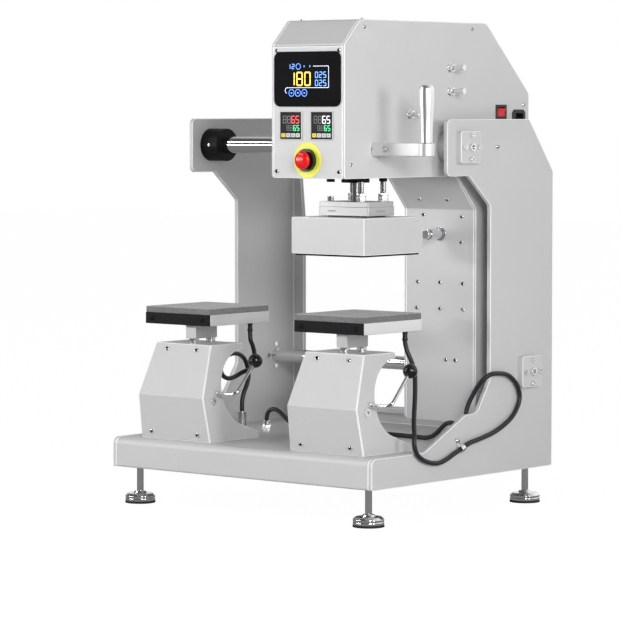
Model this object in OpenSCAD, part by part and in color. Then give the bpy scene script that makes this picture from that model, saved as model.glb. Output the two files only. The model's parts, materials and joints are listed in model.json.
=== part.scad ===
// Dual-station shuttle heat press. Millimetres, +Z up.
// The origin lies on the floor, at the centre of the four levelling feet.

/* [Base] */
// Width over the two side plates
base_w = 588; // [580:1:620]
// Depth of the base and of the side plates
base_d = 512; // [508:1:530]
// Height of the tray's underside above the floor
foot_h = 65; // [55:1:80]
// Height of the base tray
tray_h = 52.5; // [48:0.5:60]
// Sheet thickness of the base tray
tray_t = 2.5; // [2:0.1:3.5]
// Radius of the tray's rolled front edge
tray_r = 12; // [8:1:16]
// Height of the rear wall above the tray top
wall_rise = 31.5; // [24:0.5:36]
// Width of the tray's bottom returns, which carry the feet
return_w = 62; // [58:1:70]
// Distance of the feet's axes from the outer edges
foot_inset = 34; // [32:0.5:40]
// Diameter of a foot's disc
foot_d = 54; // [46:1:60]
// Diameter of a foot's threaded stem
stem_d = 12; // [10:0.5:14]

/* [Side plates] */
// Thickness of a side plate
plate_t = 8; // [6:0.5:10]
// Depth of the rear column of a side plate
column_d = 184; // [176:1:190]
// Height of the top arm of a side plate
arm_h = 97; // [92:1:104]
// Width of the inward rear flange
rear_flange_w = 24; // [18:1:26]
// Thickness of the inward rear flange
rear_flange_t = 8; // [5:0.5:9]

/* [Shaft and bar] */
// Diameter of the upper shaft
shaft_d = 30; // [26:1:32]
// Height of the shaft above the tray top
shaft_rise = 515; // [505:1:530]
// Distance of the shaft behind the base's front edge
shaft_back = 254; // [250:1:258]
// Diameter of the lower bar
bar_d = 25; // [20:1:28]
// Height of the lower bar above the tray top
bar_rise = 120.5; // [116:0.5:126]
// Distance of the lower bar ahead of the base's rear edge
bar_ahead = 78; // [74:1:82]
// Side of a square shaft flange
flange_w = 55; // [52:1:60]
// Thickness of a shaft flange
flange_t = 12.5; // [10:0.5:14]
// Pitch circle of a shaft flange's four screws
flange_pcd = 41; // [40:0.5:44]
// Outer diameter of a shaft collar
collar_d = 59; // [56:1:64]

/* [Stations] */
// Distance of the right station from the right side plate
station_in_r = 110; // [106:0.5:112]
// Distance of the left station from the left side plate
station_in_l = 119; // [112:0.5:124]
// Distance of the press axis behind the base's front edge
press_back = 106; // [104:1:110]
// Side of the square heating plate and width of a platen
plate_side = 150; // [140:1:154]
// Depth of a platen
platen_dep = 160; // [150:1:162]
// Thickness of a platen
platen_t = 19.7; // [16:0.1:22]
// Thickness of a platen's pad
pad_t = 10.8; // [8:0.1:12]
// Height of a pedestal above the tray top
ped_h = 168.7; // [164:0.1:172]
// Width of a pedestal at its foot
ped_w0 = 160; // [156:1:166]
// Width of a pedestal at the fold in its front
ped_w1 = 150.6; // [146:0.1:154]
// Width of a pedestal at its top
ped_w2 = 127; // [120:1:134]
// Radius of the rolled throat behind a pedestal
throat_r = 67; // [62:1:70]
// Wall thickness of a pedestal
ped_t = 3; // [2:0.5:4]
// Thickness of a pedestal's front cover
ped_cover_t = 2; // [1.5:0.5:3]
// Width of a platen post
post_w = 24; // [20:1:30]
// Depth of a platen post
post_dep = 56; // [50:1:64]
// Height of a platen post
post_h = 26; // [24:0.5:30]
// Diameter of a lock lever's rod
lever_d = 6; // [5:0.5:8]
// Diameter of a lever's ball
ball_d = 25; // [20:1:30]

/* [Carriage] */
// Width of the carriage
head_w = 158; // [156:0.5:162]
// Height of the head
head_h = 264; // [258:1:270]
// Reach of the head ahead of the base's front edge
head_reach = 24; // [20:1:30]
// Run of the sloping brow over the front panel
brow = 41.6; // [36:0.2:44]
// Thickness of a side cover
cover_t = 5; // [4:0.5:6]
// Thickness of the folded covers
wrap_t = 2; // [1.5:0.5:3]
// Thickness of the front panel
panel_t = 3; // [2:0.5:4]
// Thickness of the head's base plate
deck_t = 10; // [8:0.5:12]
// Width of the display
display_w = 143; // [130:1:144]
// Height of the display
display_h = 91.5; // [86:0.5:94]
// Side of a temperature controller
ctrl_w = 48; // [44:1:50]
// Diameter of the emergency stop's legend disc
legend_d = 60; // [54:1:62]
// Diameter of the emergency stop's button
stop_d = 30; // [26:1:32]
// Length of the handle arm
arm_len = 107; // [95:1:115]
// Height of the handle arm
arm_t = 21.5; // [18:0.5:24]
// Length of the grip
grip_h = 96; // [85:1:110]
// Largest diameter of the grip
grip_d = 25.6; // [22:0.2:30]

/* [Press head] */
// Width of the heater cover
heat_w = 158; // [154:1:160]
// Height of the heater cover
heat_h = 62; // [56:1:64]
// Reach of the heater cover ahead of the press axis
heat_front = 75; // [72:1:78]
// Reach of the heater cover behind the press axis
heat_back = 85; // [80:1:88]
// Sheet thickness of the heater cover
cover_wall = 2; // [1.5:0.1:2.5]
// Width of the clamp block
clamp_w = 108; // [100:1:116]
// Depth of the clamp block
clamp_dep = 72; // [68:1:80]
// Height of the clamp block
clamp_h = 24; // [22:0.5:28]
// Diameter of the ram
ram_d = 16; // [14:1:20]
// Diameter of a guide rod
rod_d = 10; // [8:0.5:12]
// Gap between the heating plate and the pad
press_gap = 99.5; // [96:0.5:102]

/* [Fits] */
// Radial clearance of a sliding bearing
slide_fit = 0.05; // [0.03:0.01:0.1]
// Radial clearance of a screw or a rod in a plain hole
hole_fit = 0.3; // [0.2:0.05:0.5]
// Gap between neighbours that do not touch
seam = 0.3; // [0.2:0.05:0.5]

/* [Hidden] */
$fn = 48;
yf = -base_d / 2;
yb = base_d / 2;
zb = foot_h;
zt = foot_h + tray_h;
x_in = base_w / 2 - plate_t;
x_out = base_w / 2;
sy = yf + shaft_back;
sz = zt + shaft_rise;
by = yb - bar_ahead;
bz = zt + bar_rise;
foot_x = base_w / 2 - foot_inset;
foot_y = base_d / 2 - foot_inset;
py = yf + press_back;

// Heights of a pedestal and of what it carries
ped_fold_z = zt + 78.7;
ped_top = zt + ped_h;
bolt_h = 8;
post_z = ped_top + bolt_h;
platen_z = post_z + post_h;
pad_z = platen_z + platen_t;
pad_top = pad_z + pad_t;
platen_y = py + 4;
post_y = py - 12;

// Profile of a pedestal, as depths behind the front edge of the base
ped_y0 = yf + 25;
ped_y1 = yf + 11.4;
ped_y2 = yf + 46.2;
ped_foot_back = yf + 156;
throat_y = yf + 131;
throat_z = ped_top - 78;
lever_y = yf + 48.6;
lever_z = ped_fold_z + 6.3;
lever_out = 45;
lever_bend = 10;
station_x = x_in - station_in_r;
station_l = station_in_l - x_in;
pitch = station_x - station_l;
stations = [station_l, station_x];

// Press head
plate_z = pad_top + press_gap;
heat_z = plate_z + 3;
heat_top = heat_z + heat_h;
clamp_z = heat_top + 2;
clamp_top = clamp_z + clamp_h;
head_x = station_x - 3;
rod_dx = 33;
rod_dy = 30;
stroke = press_gap - 0.5;

// Carriage
cx0 = station_x - head_w / 2;
cx1 = station_x + head_w / 2;
ix0 = cx0 + cover_t;
ix1 = cx1 - cover_t;
head_z0 = sz - 50.5;
head_z1 = head_z0 + head_h;
hy = yf - head_reach;
brow_z = head_z1 - brow;
top_back = yb - 146;
col_y0 = by - 96.5;
col_y1 = by + 58;
slope_z = head_z1 - 121;
col_z0 = zt + 32.5;
under_y = col_y0 - 53;
under_z = head_z0 - 59.5;
panel_top = brow_z - 3;
disp_z = panel_top - 8.5 - display_h / 2;
ctrl_z = disp_z - display_h / 2 - 31.4;
stop_z = head_z0 + 30.5;
arm_y = yf + 58;
arm_z = head_z0 + 48.5;
grip_x = cx1 + arm_len;
collar_l_x = cx0 - pitch - seam;
collar_r_x = cx1 + seam;

// Cable routes, rings of the tubes in order
cable_d = 8;
sleeve_d = 12;
plug_in = 20;
plug_l = [station_l + 30, ped_foot_back + 12];
plug_r = [x_in - plug_in, yf + 296];
lead_a = [100 - x_in, yf + 293];
lead_b = [x_in - 42, yf + 302];

// ---- Outline helpers ----
function dir(a, b) = (b - a) / norm(b - a);
function left_of(d) = [-d.y, d.x];
function flat(p) = [p.x, p.y];

// Arc that rounds the corner p between its neighbours a and b
function corner(a, p, b, r, n) =
    let (u = dir(p, a), v = dir(p, b), h = acos(u * v) / 2,
         c = p + (u + v) / norm(u + v) * r / sin(h),
         s = p + u * r / tan(h), e = p + v * r / tan(h),
         a0 = atan2(s.y - c.y, s.x - c.x), a1 = atan2(e.y - c.y, e.x - c.x),
         da = a1 - a0, sw = da > 180 ? da - 360 : da < -180 ? da + 360 : da)
    [for (k = [0 : n]) c + r * [cos(a0 + sw * k / n), sin(a0 + sw * k / n)]];

// Outline through corners [y, z, radius]
function rounded(p, n = 5) = [for (i = [0 : len(p) - 1])
    let (m = len(p), a = flat(p[(i + m - 1) % m]), b = flat(p[(i + 1) % m]))
    each (p[i][2] > 0 ? corner(a, flat(p[i]), b, p[i][2], n) : [flat(p[i])])];

// Point t to the left of an open path
function beside(p, i, t) =
    i == 0 ? p[0] + t * left_of(dir(p[0], p[1])) :
    i == len(p) - 1 ? p[i] + t * left_of(dir(p[i - 1], p[i])) :
    let (n1 = left_of(dir(p[i - 1], p[i])), n2 = left_of(dir(p[i], p[i + 1])))
    p[i] + t * (n1 + n2) / (1 + n1 * n2);

// Folded sheet of thickness t along an open path, its inside to the left
function sheet(p, t) = concat(p, [for (i = [len(p) - 1 : -1 : 0]) beside(p, i, t)]);

// ---- Solid helpers ----
module along_x(x0, x1) {
    translate([x0, 0, 0]) rotate([90, 0, 90]) linear_extrude(x1 - x0) children();
}
module along_y(y0, y1) {
    translate([0, y1, 0]) rotate([90, 0, 0]) linear_extrude(y1 - y0) children();
}
module box(x0, x1, y0, y1, z0, z1) {
    translate([x0, y0, z0]) cube([x1 - x0, y1 - y0, z1 - z0]);
}
module rod_x(x0, x1, y, z, d) {
    translate([x0, y, z]) rotate([0, 90, 0]) cylinder(d = d, h = x1 - x0);
}
module rod_y(x, y0, y1, z, d) {
    translate([x, y0, z]) rotate([-90, 0, 0]) cylinder(d = d, h = y1 - y0);
}
module rod_z(x, y, z0, z1, d) {
    translate([x, y, z0]) cylinder(d = d, h = z1 - z0);
}
module round_rect(w, h, r) {
    polygon(rounded([[-w / 2, -h / 2, r], [w / 2, -h / 2, r], [w / 2, h / 2, r], [-w / 2, h / 2, r]]));
}
module hex_nut(af, h, d) {
    difference() {
        cylinder(d = af / cos(30), h = h, $fn = 6);
        translate([0, 0, -1]) cylinder(d = d + 2 * slide_fit, h = h + 2);
    }
}
// Cap screw: the head stands on the face at z = 0, the shank goes down
module cap_screw(d, hd, hh, len) {
    difference() {
        union() {
            cylinder(d = hd, h = hh);
            translate([0, 0, -len]) cylinder(d = d, h = len + 0.5);
        }
        translate([0, 0, hh * 0.45]) cylinder(d = hd * 0.58, h = hh, $fn = 6);
    }
}
// Pan head on a face at z = 0
module pan_head(d = 7, h = 2.4) {
    difference() {
        union() {
            cylinder(d = d, h = h * 0.5);
            translate([0, 0, h * 0.5]) cylinder(d1 = d, d2 = d * 0.62, h = h * 0.5);
        }
        translate([-d * 0.3, -0.4, h * 0.55]) cube([d * 0.6, 0.8, h]);
        translate([-0.4, -d * 0.3, h * 0.55]) cube([0.8, d * 0.6, h]);
    }
}
module face_y(x, y, z) { translate([x, y, z]) rotate([90, 0, 0]) children(); }
module face_x(x, y, z) { translate([x, y, z]) rotate([0, 90, 0]) children(); }
module face_nx(x, y, z) { translate([x, y, z]) rotate([0, -90, 0]) children(); }

// Tube of n sides along points p
function unit(v) = v / norm(v);
function heading(p, i) = unit(p[min(i + 1, len(p) - 1)] - p[max(i - 1, 0)]);
function turned(p, i, n) = let (t = heading(p, i)) unit(n - (n * t) * t);
function side_dirs(p, i, n) = i == len(p) ? [] :
    let (m = turned(p, i, n)) concat([m], side_dirs(p, i + 1, m));
module tube(p, d, n = 8) {
    sd = side_dirs(p, 0, abs(heading(p, 0).z) > 0.9 ? [1, 0, 0] : [0, 0, 1]);
    pts = [for (i = [0 : len(p) - 1]) let (u = sd[i], v = cross(heading(p, i), u))
        for (k = [0 : n - 1]) p[i] + d / 2 * (cos(360 * k / n) * u + sin(360 * k / n) * v)];
    last = (len(p) - 1) * n;
    faces = concat([[for (k = [0 : n - 1]) k]], [[for (k = [n - 1 : -1 : 0]) last + k]],
        [for (i = [0 : len(p) - 2]) for (k = [0 : n - 1]) let (a = i * n + k, b = i * n + (k + 1) % n)
            each [[a, a + n, b], [b, a + n, b + n]]]);
    polyhedron(pts, faces);
}

// ---- Base ----
module base_tray() {
    top = [[yb - tray_t, zt, 0], [yf, zt, tray_r], [yf, zb, 4], [yf + return_w, zb, 0]];
    wall = [[yb - return_w, zb, 0], [yb, zb, 4], [yb, zt + wall_rise, 4],
        [yb - 12, zt + wall_rise, 4], [yb - 12, zt + wall_rise - 12, 0]];
    color("lightgray") difference() {
        union() {
            along_x(-x_in, x_in) polygon(sheet(rounded(top), tray_t));
            along_x(-x_in, x_in) polygon(sheet(rounded(wall), tray_t));
        }
        for (x = [-foot_x, foot_x], y = [-foot_y, foot_y])
            rod_z(x, y, zb - 1, zb + tray_t + 1, stem_d + 2 * hole_fit);
        for (p = [plug_l, plug_r]) rod_z(p.x, p.y, zt - tray_t - 1, zt + 1, 14 + 2 * hole_fit);
        for (p = [lead_a, lead_b]) rod_z(p.x, p.y, zt - tray_t - 1, zt + 1, 12 + 2 * hole_fit);
        for (x = stations, p = floor_screws) rod_z(x + p.x, p.y, zt - tray_t - 1, zt + 1, 6 + 2 * hole_fit);
    }
}
plate_pts = [[yf, zb, 3], [yb, zb, 3], [yb, sz - 44.5, 5], [yb - 72, sz + 47.5, 6],
    [sy - 50, sz + 47.5, 10], [sy - 50, sz + 47.5 - arm_h, 10], [sy + 12, sz + 47.5 - arm_h, 8],
    [yb - column_d, sz - 101.5, 8], [yb - column_d, zt + 111.5, 10], [yb - column_d - 37, zt + 57.5, 20],
    [yb - column_d - 70, zt + 55.5, 20], [yf + 142, zt, 20], [yf, zt, 12]];
// Inward flange near a side plate's rear edge, narrower towards its top
module rear_flange(s) {
    low_x = s * (x_in - rear_flange_w);
    top_x = low_x + s * 9;
    along_y(yb - 16 - rear_flange_t, yb - 16)
        polygon([[s * x_in, zt], [low_x, zt], [low_x, sz - 142.5], [top_x, sz - 44.5], [s * x_in, sz - 44.5]]);
}
module side_plate(s) {
    difference() {
        union() {
            along_x(s > 0 ? x_in : -x_out, s > 0 ? x_out : -x_in) polygon(rounded(plate_pts));
            rear_flange(s);
        }
        rod_x(s * x_out - 20, s * x_out + 20, sy, sz, shaft_d + 2 * slide_fit);
        rod_x(s * x_out - 20, s * x_out + 20, by, bz, bar_d + 2 * slide_fit);
        for (c = [[sy, sz], [by, bz]], a = [0 : 90 : 270])
            rod_x(s * x_out - 20, s * x_out + 20, c[0] + flange_pcd / 2 * cos(a),
                c[1] + flange_pcd / 2 * sin(a), 5 + 2 * slide_fit);
    }
}
module side_plate_left() { color("gainsboro") side_plate(-1); }
module side_plate_right() { color("gainsboro") side_plate(1); }

pad_h = 3;
disc_h = 14;
module at_feet() {
    for (x = [-foot_x, foot_x], y = [-foot_y, foot_y]) translate([x, y, 0]) children();
}
module foot_pads() {
    color("dimgray") at_feet() cylinder(d = foot_d, h = pad_h);
}
module levelling_feet() {
    r = foot_d / 2 - 0.5;
    color("silver") at_feet() {
        rotate_extrude() polygon([[0, pad_h], [r - 1, pad_h], [r, pad_h + 1.5], [r, pad_h + 5],
            [r - 1, pad_h + 6], [r, pad_h + 7], [r, pad_h + disc_h - 4], [r - 4, pad_h + disc_h],
            [12, pad_h + disc_h], [10, pad_h + disc_h + 4], [stem_d / 2, pad_h + disc_h + 4],
            [stem_d / 2, zb + tray_t + 22], [0, zb + tray_t + 22]]);
    }
}
module foot_nuts() {
    color("silver") at_feet() {
        translate([0, 0, zb + tray_t]) hex_nut(19, 10, stem_d);
        translate([0, 0, zb - 2.5]) difference() {
            cylinder(d = 21, h = 2.5);
            translate([0, 0, -1]) cylinder(d = stem_d + 2 * slide_fit, h = 5);
        }
    }
}

// ---- Shaft, bar, flanges and collars ----
module round_bar(d, y, z) {
    difference() {
        rod_x(-x_out, x_out, y, z, d);
        rod_x(-x_out - 1, -x_out + 30, y, z, 8 + 2 * slide_fit);
        rod_x(x_out - 30, x_out + 1, y, z, 8 + 2 * slide_fit);
    }
}
module upper_shaft() { color("whitesmoke") round_bar(shaft_d, sy, sz); }
module lower_bar() { color("whitesmoke") round_bar(bar_d, by, bz); }
module collar(x0, x1, sx) {
    difference() {
        rod_x(x0, x1, sy, sz, collar_d);
        rod_x(x0 - 1, x1 + 1, sy, sz, shaft_d + 2 * slide_fit);
        rod_y(sx, sy - collar_d, sy, sz, 6 + 2 * slide_fit);
    }
}
set_l = (-x_in + collar_l_x) / 2;
set_r = (x_in + collar_r_x) / 2;
module collar_left() { color("dimgray") collar(-x_in, collar_l_x, set_l); }
module collar_right() { color("silver") collar(collar_r_x, x_in, set_r); }
module shaft_flanges() {
    color("silver") for (s = [-1, 1], c = [[sy, sz], [by, bz]]) difference() {
        along_x(s > 0 ? x_out : -x_out - flange_t, s > 0 ? x_out + flange_t : -x_out)
            translate(c) round_rect(flange_w, flange_w, 5);
        rod_x(s * (x_out + 6) - 10, s * (x_out + 6) + 10, c[0], c[1], 8 + 2 * slide_fit);
        for (a = [0 : 90 : 270])
            rod_x(s * (x_out + 6) - 10, s * (x_out + 6) + 10, c[0] + flange_pcd / 2 * cos(a),
                c[1] + flange_pcd / 2 * sin(a), 5 + 2 * slide_fit);
    }
}
module frame_screws() {
    xf = x_out + flange_t;
    color("gray") {
        for (s = [-1, 1], c = [[sy, sz], [by, bz]]) {
            translate([s * xf, c[0], c[1]]) rotate([0, s * 90, 0]) cap_screw(8, 14, 6, flange_t + 20);
            for (a = [0 : 90 : 270])
                translate([s * xf, c[0] + flange_pcd / 2 * cos(a), c[1] + flange_pcd / 2 * sin(a)])
                    rotate([0, s * 90, 0]) cap_screw(5, 9, 5, flange_t + plate_t - 1);
        }
        for (s = [-1, 1], a = [0 : 90 : 270])
            translate([s * x_in, by + flange_pcd / 2 * cos(a), bz + flange_pcd / 2 * sin(a)])
                rotate([0, -s * 90, 0]) cylinder(d = 8.5, h = 3);
        for (x = [set_l, set_r])
            rod_y(x, sy - collar_d / 2 + 1, sy - shaft_d / 2 - seam, sz, 6);
        face_x(x_out, sy + 92, sz) pan_head(8, 2.6);
    }
}

// ---- Pedestals ----
// Profile in the YZ plane; g moves the front, top and foot inwards
module ped_profile(g, front) {
    polygon([[ped_y0 + front, zt + g], [ped_foot_back - g, zt + g], [ped_foot_back - g, zt + 10 - g / 2],
        [yf + 116, zt + 24.5 - g], [throat_y, throat_z - g], [throat_y, ped_top - g],
        [ped_y2 + front, ped_top - g], [ped_y1 + front, ped_fold_z]]);
}
module ped_taper(g) {
    polygon([[-ped_w0 / 2 + g, zt], [ped_w0 / 2 - g, zt], [ped_w1 / 2 - g, ped_fold_z],
        [ped_w2 / 2 - g, ped_top], [-ped_w2 / 2 + g, ped_top], [-ped_w1 / 2 + g, ped_fold_z]]);
}
post_bolts = [[-5, -14], [5, 19]];
floor_screws = [for (s = [-1, 1], d = [52, 142]) [s * 46, yf + d]];
module pedestal_body(x) {
    wall_x = x + (ped_w1 / 2 - (lever_z - ped_fold_z) * (ped_w1 - ped_w2) / 2 / (ped_top - ped_fold_z));
    translate([x, 0, 0]) difference() {
        union() {
            difference() {
                intersection() {
                    along_x(-ped_w0, ped_w0) ped_profile(0, ped_cover_t);
                    along_y(yf, ped_foot_back + 1) ped_taper(0);
                }
                rod_x(-ped_w0, ped_w0, throat_y, throat_z, 2 * throat_r);
                difference() {
                    intersection() {
                        along_x(-ped_w0, ped_w0) ped_profile(ped_t, 0);
                        along_y(yf - 1, ped_foot_back - 6) ped_taper(ped_t);
                    }
                    rod_x(-ped_w0, ped_w0, throat_y, throat_z, 2 * (throat_r + ped_t));
                }
            }
            rod_x(wall_x - x - 14, wall_x - x - 1, lever_y, lever_z, 14);
        }
        rod_x(wall_x - x - 20, wall_x - x + 20, lever_y, lever_z, lever_d + 2 * slide_fit);
        for (p = post_bolts) rod_z(p.x, post_y + p.y, ped_top - 8.6, ped_top + 1, 8 + 2 * hole_fit);
        for (p = floor_screws) rod_z(p.x, p.y, zt - 1, zt + ped_t + 1, 6 + 2 * slide_fit);
        translate(side_screw) rotate([0, 90 + side_tilt, 0])
            translate([0, 0, -8]) cylinder(d = 8 + 2 * slide_fit, h = 10);
    }
}
module pedestal_bodies() { color("lightgray") for (x = stations) pedestal_body(x); }
module pedestal_covers() {
    path = [[ped_y2, ped_top, 0], [ped_y1, ped_fold_z, 6], [ped_y0, zt, 0]];
    color("gainsboro") for (x = stations) translate([x, 0, 0]) intersection() {
        along_x(-ped_w0, ped_w0) polygon(concat(rounded(path),
            [[ped_y0 + ped_cover_t, zt], [ped_y1 + ped_cover_t, ped_fold_z],
             [ped_y2 + ped_cover_t, ped_top]]));
        along_y(yf, ped_foot_back) ped_taper(0);
    }
}
// Places a screw square to the lower or the upper face of the front cover
lower_tilt = atan((ped_y0 - ped_y1) / (ped_fold_z - zt));
upper_tilt = atan((ped_y2 - ped_y1) / (ped_top - ped_fold_z));
side_tilt = -atan((ped_w0 - ped_w1) / 2 / (ped_fold_z - zt));
screw_drop = 6.3;
side_screw = [ped_w1 / 2 + screw_drop * (ped_w0 - ped_w1) / 2 / (ped_fold_z - zt), ped_y1 + 26.5,
    ped_fold_z - screw_drop];
module on_lower(x, up) {
    translate([x, ped_y0 - (ped_y0 - ped_y1) * up / (ped_fold_z - zt), zt + up])
        rotate([90 + lower_tilt, 0, 0]) children();
}
module on_upper(x, down) {
    translate([x, ped_y2 - (ped_y2 - ped_y1) * down / (ped_top - ped_fold_z), ped_top - down])
        rotate([90 - upper_tilt, 0, 0]) children();
}
module pedestal_fasteners() {
    color("silver") for (x = stations) {
        for (s = [-1, 1]) {
            on_lower(x + s * (ped_w0 / 2 - 26), 13) pan_head(8, 2.6);
            on_upper(x + s * (ped_w2 / 2 - 29), 10) pan_head(8, 2.6);
        }
        translate([x, 0, 0] + side_screw) rotate([0, 90 + side_tilt, 0])
            cap_screw(8, 13.5, 4.2, 6);
        for (p = floor_screws) translate([x + p.x, p.y, zt - tray_t]) rotate([180, 0, 0])
            cap_screw(6, 10, 5, tray_t + ped_t + 1);
        for (p = post_bolts) translate([x + p.x, post_y + p.y, 0]) {
            rod_z(0, 0, ped_top - 8.5, post_z + 10, 8);
            translate([0, 0, ped_top]) difference() {
                cylinder(d = 17, h = bolt_h);
                translate([0, 0, -1]) cylinder(d = 8 + 2 * slide_fit, h = bolt_h + 2);
            }
        }
    }
}
module platen_posts() {
    color("silver") for (x = stations) translate([x, post_y, post_z]) difference() {
        translate([-post_w / 2, -post_dep / 2, 0]) cube([post_w, post_dep, post_h]);
        for (p = post_bolts) translate([p.x, p.y, -1]) cylinder(d = 8 + 2 * slide_fit, h = 12);
    }
}

// ---- Platens ----
end_t = 3;
platen_y0 = platen_y - platen_dep / 2;
gland_dx = [52, 58];
gland_y = yf + 165;
module platen_bodies() {
    color("lightgray") for (i = [0, 1]) difference() {
        box(stations[i] - plate_side / 2, stations[i] + plate_side / 2, platen_y0 + end_t,
            platen_y0 + platen_dep, platen_z, pad_z);
        rod_z(stations[i] + gland_dx[i], gland_y, platen_z - 1, platen_z + 8, sleeve_d + 2 * slide_fit);
    }
}
module platen_pads() {
    color("darkgray") for (x = stations) translate([x, platen_y, pad_z])
        linear_extrude(pad_t) round_rect(plate_side, platen_dep, 3);
}
module platen_end_plates() {
    color("dimgray") for (x = stations) {
        box(x - plate_side / 2, x + plate_side / 2, platen_y0, platen_y0 + end_t, platen_z, pad_z);
        for (s = [-1, 1])
            face_y(x + s * (plate_side / 2 - 16), platen_y0, platen_z + platen_t / 2) pan_head(8, 2.4);
    }
}

// ---- Lock levers ----
function wall_at(z) = ped_w1 / 2 - (z - ped_fold_z) * (ped_w1 - ped_w2) / 2 / (ped_top - ped_fold_z);
lever_x = wall_at(lever_z) + lever_out;
lever_tilt = 43;
lever_len = 77;
lever_path = concat([[wall_at(lever_z) + 3, 0, 0]],
    [for (a = [0 : 22.5 : 90]) [lever_x - lever_bend + lever_bend * sin(a), 0, lever_bend * (1 - cos(a))]],
    [[lever_x, 0, lever_len - ball_d / 2 + 4]]);
module lever(x) {
    translate([x, lever_y, lever_z]) {
        rod_x(wall_at(lever_z) - 17, wall_at(lever_z) + 3, 0, 0, lever_d);
        rod_x(wall_at(lever_z) - 19, wall_at(lever_z) - 14 - seam, 0, 0, 12);
        rod_x(wall_at(lever_z - lever_d / 2 - 3) + seam, wall_at(lever_z) + 6, 0, 0, lever_d + 5);
        rotate([-lever_tilt, 0, 0]) tube(lever_path, lever_d, 12);
    }
}
module knob(x) {
    translate([x, lever_y, lever_z]) rotate([-lever_tilt, 0, 0]) translate([lever_x, 0, lever_len])
        difference() {
            sphere(d = ball_d);
            translate([0, 0, -ball_d / 2 - 1]) cylinder(d = ball_d * 2, h = 2);
            translate([0, 0, -ball_d / 2 - 1]) cylinder(d = lever_d + 2 * slide_fit, h = 5.2);
        }
}
module lever_left() { color("whitesmoke") lever(stations[0]); }
module lever_right() { color("whitesmoke") lever(stations[1]); }
module knob_left() { color("dimgray") knob(stations[0]); }
module knob_right() { color("dimgray") knob(stations[1]); }

// ---- Carriage covers ----
cover_pts = [[hy, head_z0, 4], [hy, brow_z, 6], [hy + brow, head_z1, 14], [top_back, head_z1, 14],
    [col_y1, slope_z, 10], [col_y1, col_z0, 4], [col_y0, col_z0, 4], [col_y0, under_z, 4],
    [under_y, head_z0, 4]];
module side_cover(x0) {
    difference() {
        along_x(x0, x0 + cover_t) polygon(rounded(cover_pts));
        rod_x(x0 - 1, x0 + cover_t + 1, sy, sz, shaft_d + 4);
        rod_x(x0 - 1, x0 + cover_t + 1, by, bz, bar_d + 4);
        children();
    }
}
rocker_x = cx1 - 4;
rocker_y = col_y1 - 83.5;
rocker_z = sz + 60;
inlet_y = col_y1 - 32;
inlet_z = sz + 50;
studs = [[yf + 262, sz + 135.5, 31], [yf + 262, sz + 95.5, 31], [yf + 150, sz + 56, 23]];
arm_bolts = [-8, 8];
module side_cover_left() { color("gainsboro") side_cover(cx0); }
module side_cover_right() {
    color("gainsboro") side_cover(ix1) {
        box(ix1 - 1, cx1 + 1, rocker_y - 13, rocker_y + 13, rocker_z - 10, rocker_z + 10);
        box(ix1 - 1, cx1 + 1, inlet_y - 14, inlet_y + 14, inlet_z - 10, inlet_z + 10);
        for (s = studs) rod_x(ix1 - 1, cx1 + 1, s[0], s[1], 8 + 2 * slide_fit);
        for (d = arm_bolts) rod_x(ix1 - 1, cx1 + 1, arm_y + d, arm_z, 5 + 2 * slide_fit);
    }
}
ctrl_dx = [-35.6, 31.4];
module front_panel() {
    color("whitesmoke") difference() {
        box(ix0, ix1, hy, hy + panel_t, head_z0, panel_top);
        box(station_x - display_w / 2 + 6, station_x + display_w / 2 - 6, hy - 1, hy + panel_t + 1,
            disp_z - display_h / 2 + 6, disp_z + display_h / 2 - 6);
        for (d = ctrl_dx) box(station_x + d - 22.2, station_x + d + 22.2, hy - 1, hy + panel_t + 1,
            ctrl_z - 22.2, ctrl_z + 22.2);
        rod_y(station_x, hy - 1, hy + panel_t + 1, stop_z, 22 + 2 * slide_fit);
    }
}
module head_wrap() {
    path = [[col_y0 + wrap_t, col_z0, 0], [col_y1, col_z0, 4], [col_y1, slope_z, 10],
        [top_back, head_z1, 14], [hy + brow, head_z1, 14], [hy, brow_z, 6], [hy, panel_top, 0]];
    color("gainsboro") along_x(ix0, ix1) polygon(sheet(rounded(path), wrap_t));
}
module column_cover() {
    path = [[under_y, head_z0, 0], [col_y0, under_z, 4], [col_y0, col_z0, 0]];
    color("lightgray") difference() {
        along_x(ix0, ix1) polygon(sheet(rounded(path), wrap_t));
        rod_y(station_x + 2, col_y0 - 2, col_y0 + wrap_t + 2, conn_z, 14 + 2 * slide_fit);
    }
}
deck_z = head_z0;
module head_base() {
    color("silver") difference() {
        box(ix0, ix1, hy + panel_t, under_y - 2, deck_z, deck_z + deck_t);
        rod_z(head_x, py, deck_z - 1, deck_z + deck_t + 1, ram_d + 2 * slide_fit);
        for (p = guide_pts)
            rod_z(head_x + p.x, py + 4 + p.y, deck_z - 1, deck_z + deck_t + 1, bush_d + 2 * slide_fit);
    }
}
guide_pts = [[rod_dx, -rod_dy], [-rod_dx, rod_dy], [rod_dx, rod_dy]];
bush_d = 14;
module linear_bearings() {
    color("silver") {
        difference() {
            union() {
                rod_x(ix0, ix1, sy, sz, shaft_d + 18);
                box(ix0 + 10, ix1 - 10, sy - shaft_d / 2 - 14, sy + shaft_d / 2 + 14,
                    deck_z + deck_t, sz - 6);
            }
            rod_x(ix0 - 1, ix1 + 1, sy, sz, shaft_d + 2 * slide_fit);
        }
        difference() {
            union() {
                rod_x(ix0, ix1, by, bz, bar_d + 18);
                box(ix0 + 10, ix1 - 10, by - bar_d / 2 - 14, by + bar_d / 2 + 14, col_z0 + wrap_t, bz - 6);
            }
            rod_x(ix0 - 1, ix1 + 1, by, bz, bar_d + 2 * slide_fit);
        }
    }
}
act_z = deck_z + deck_t;
act_h = 150;
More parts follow.
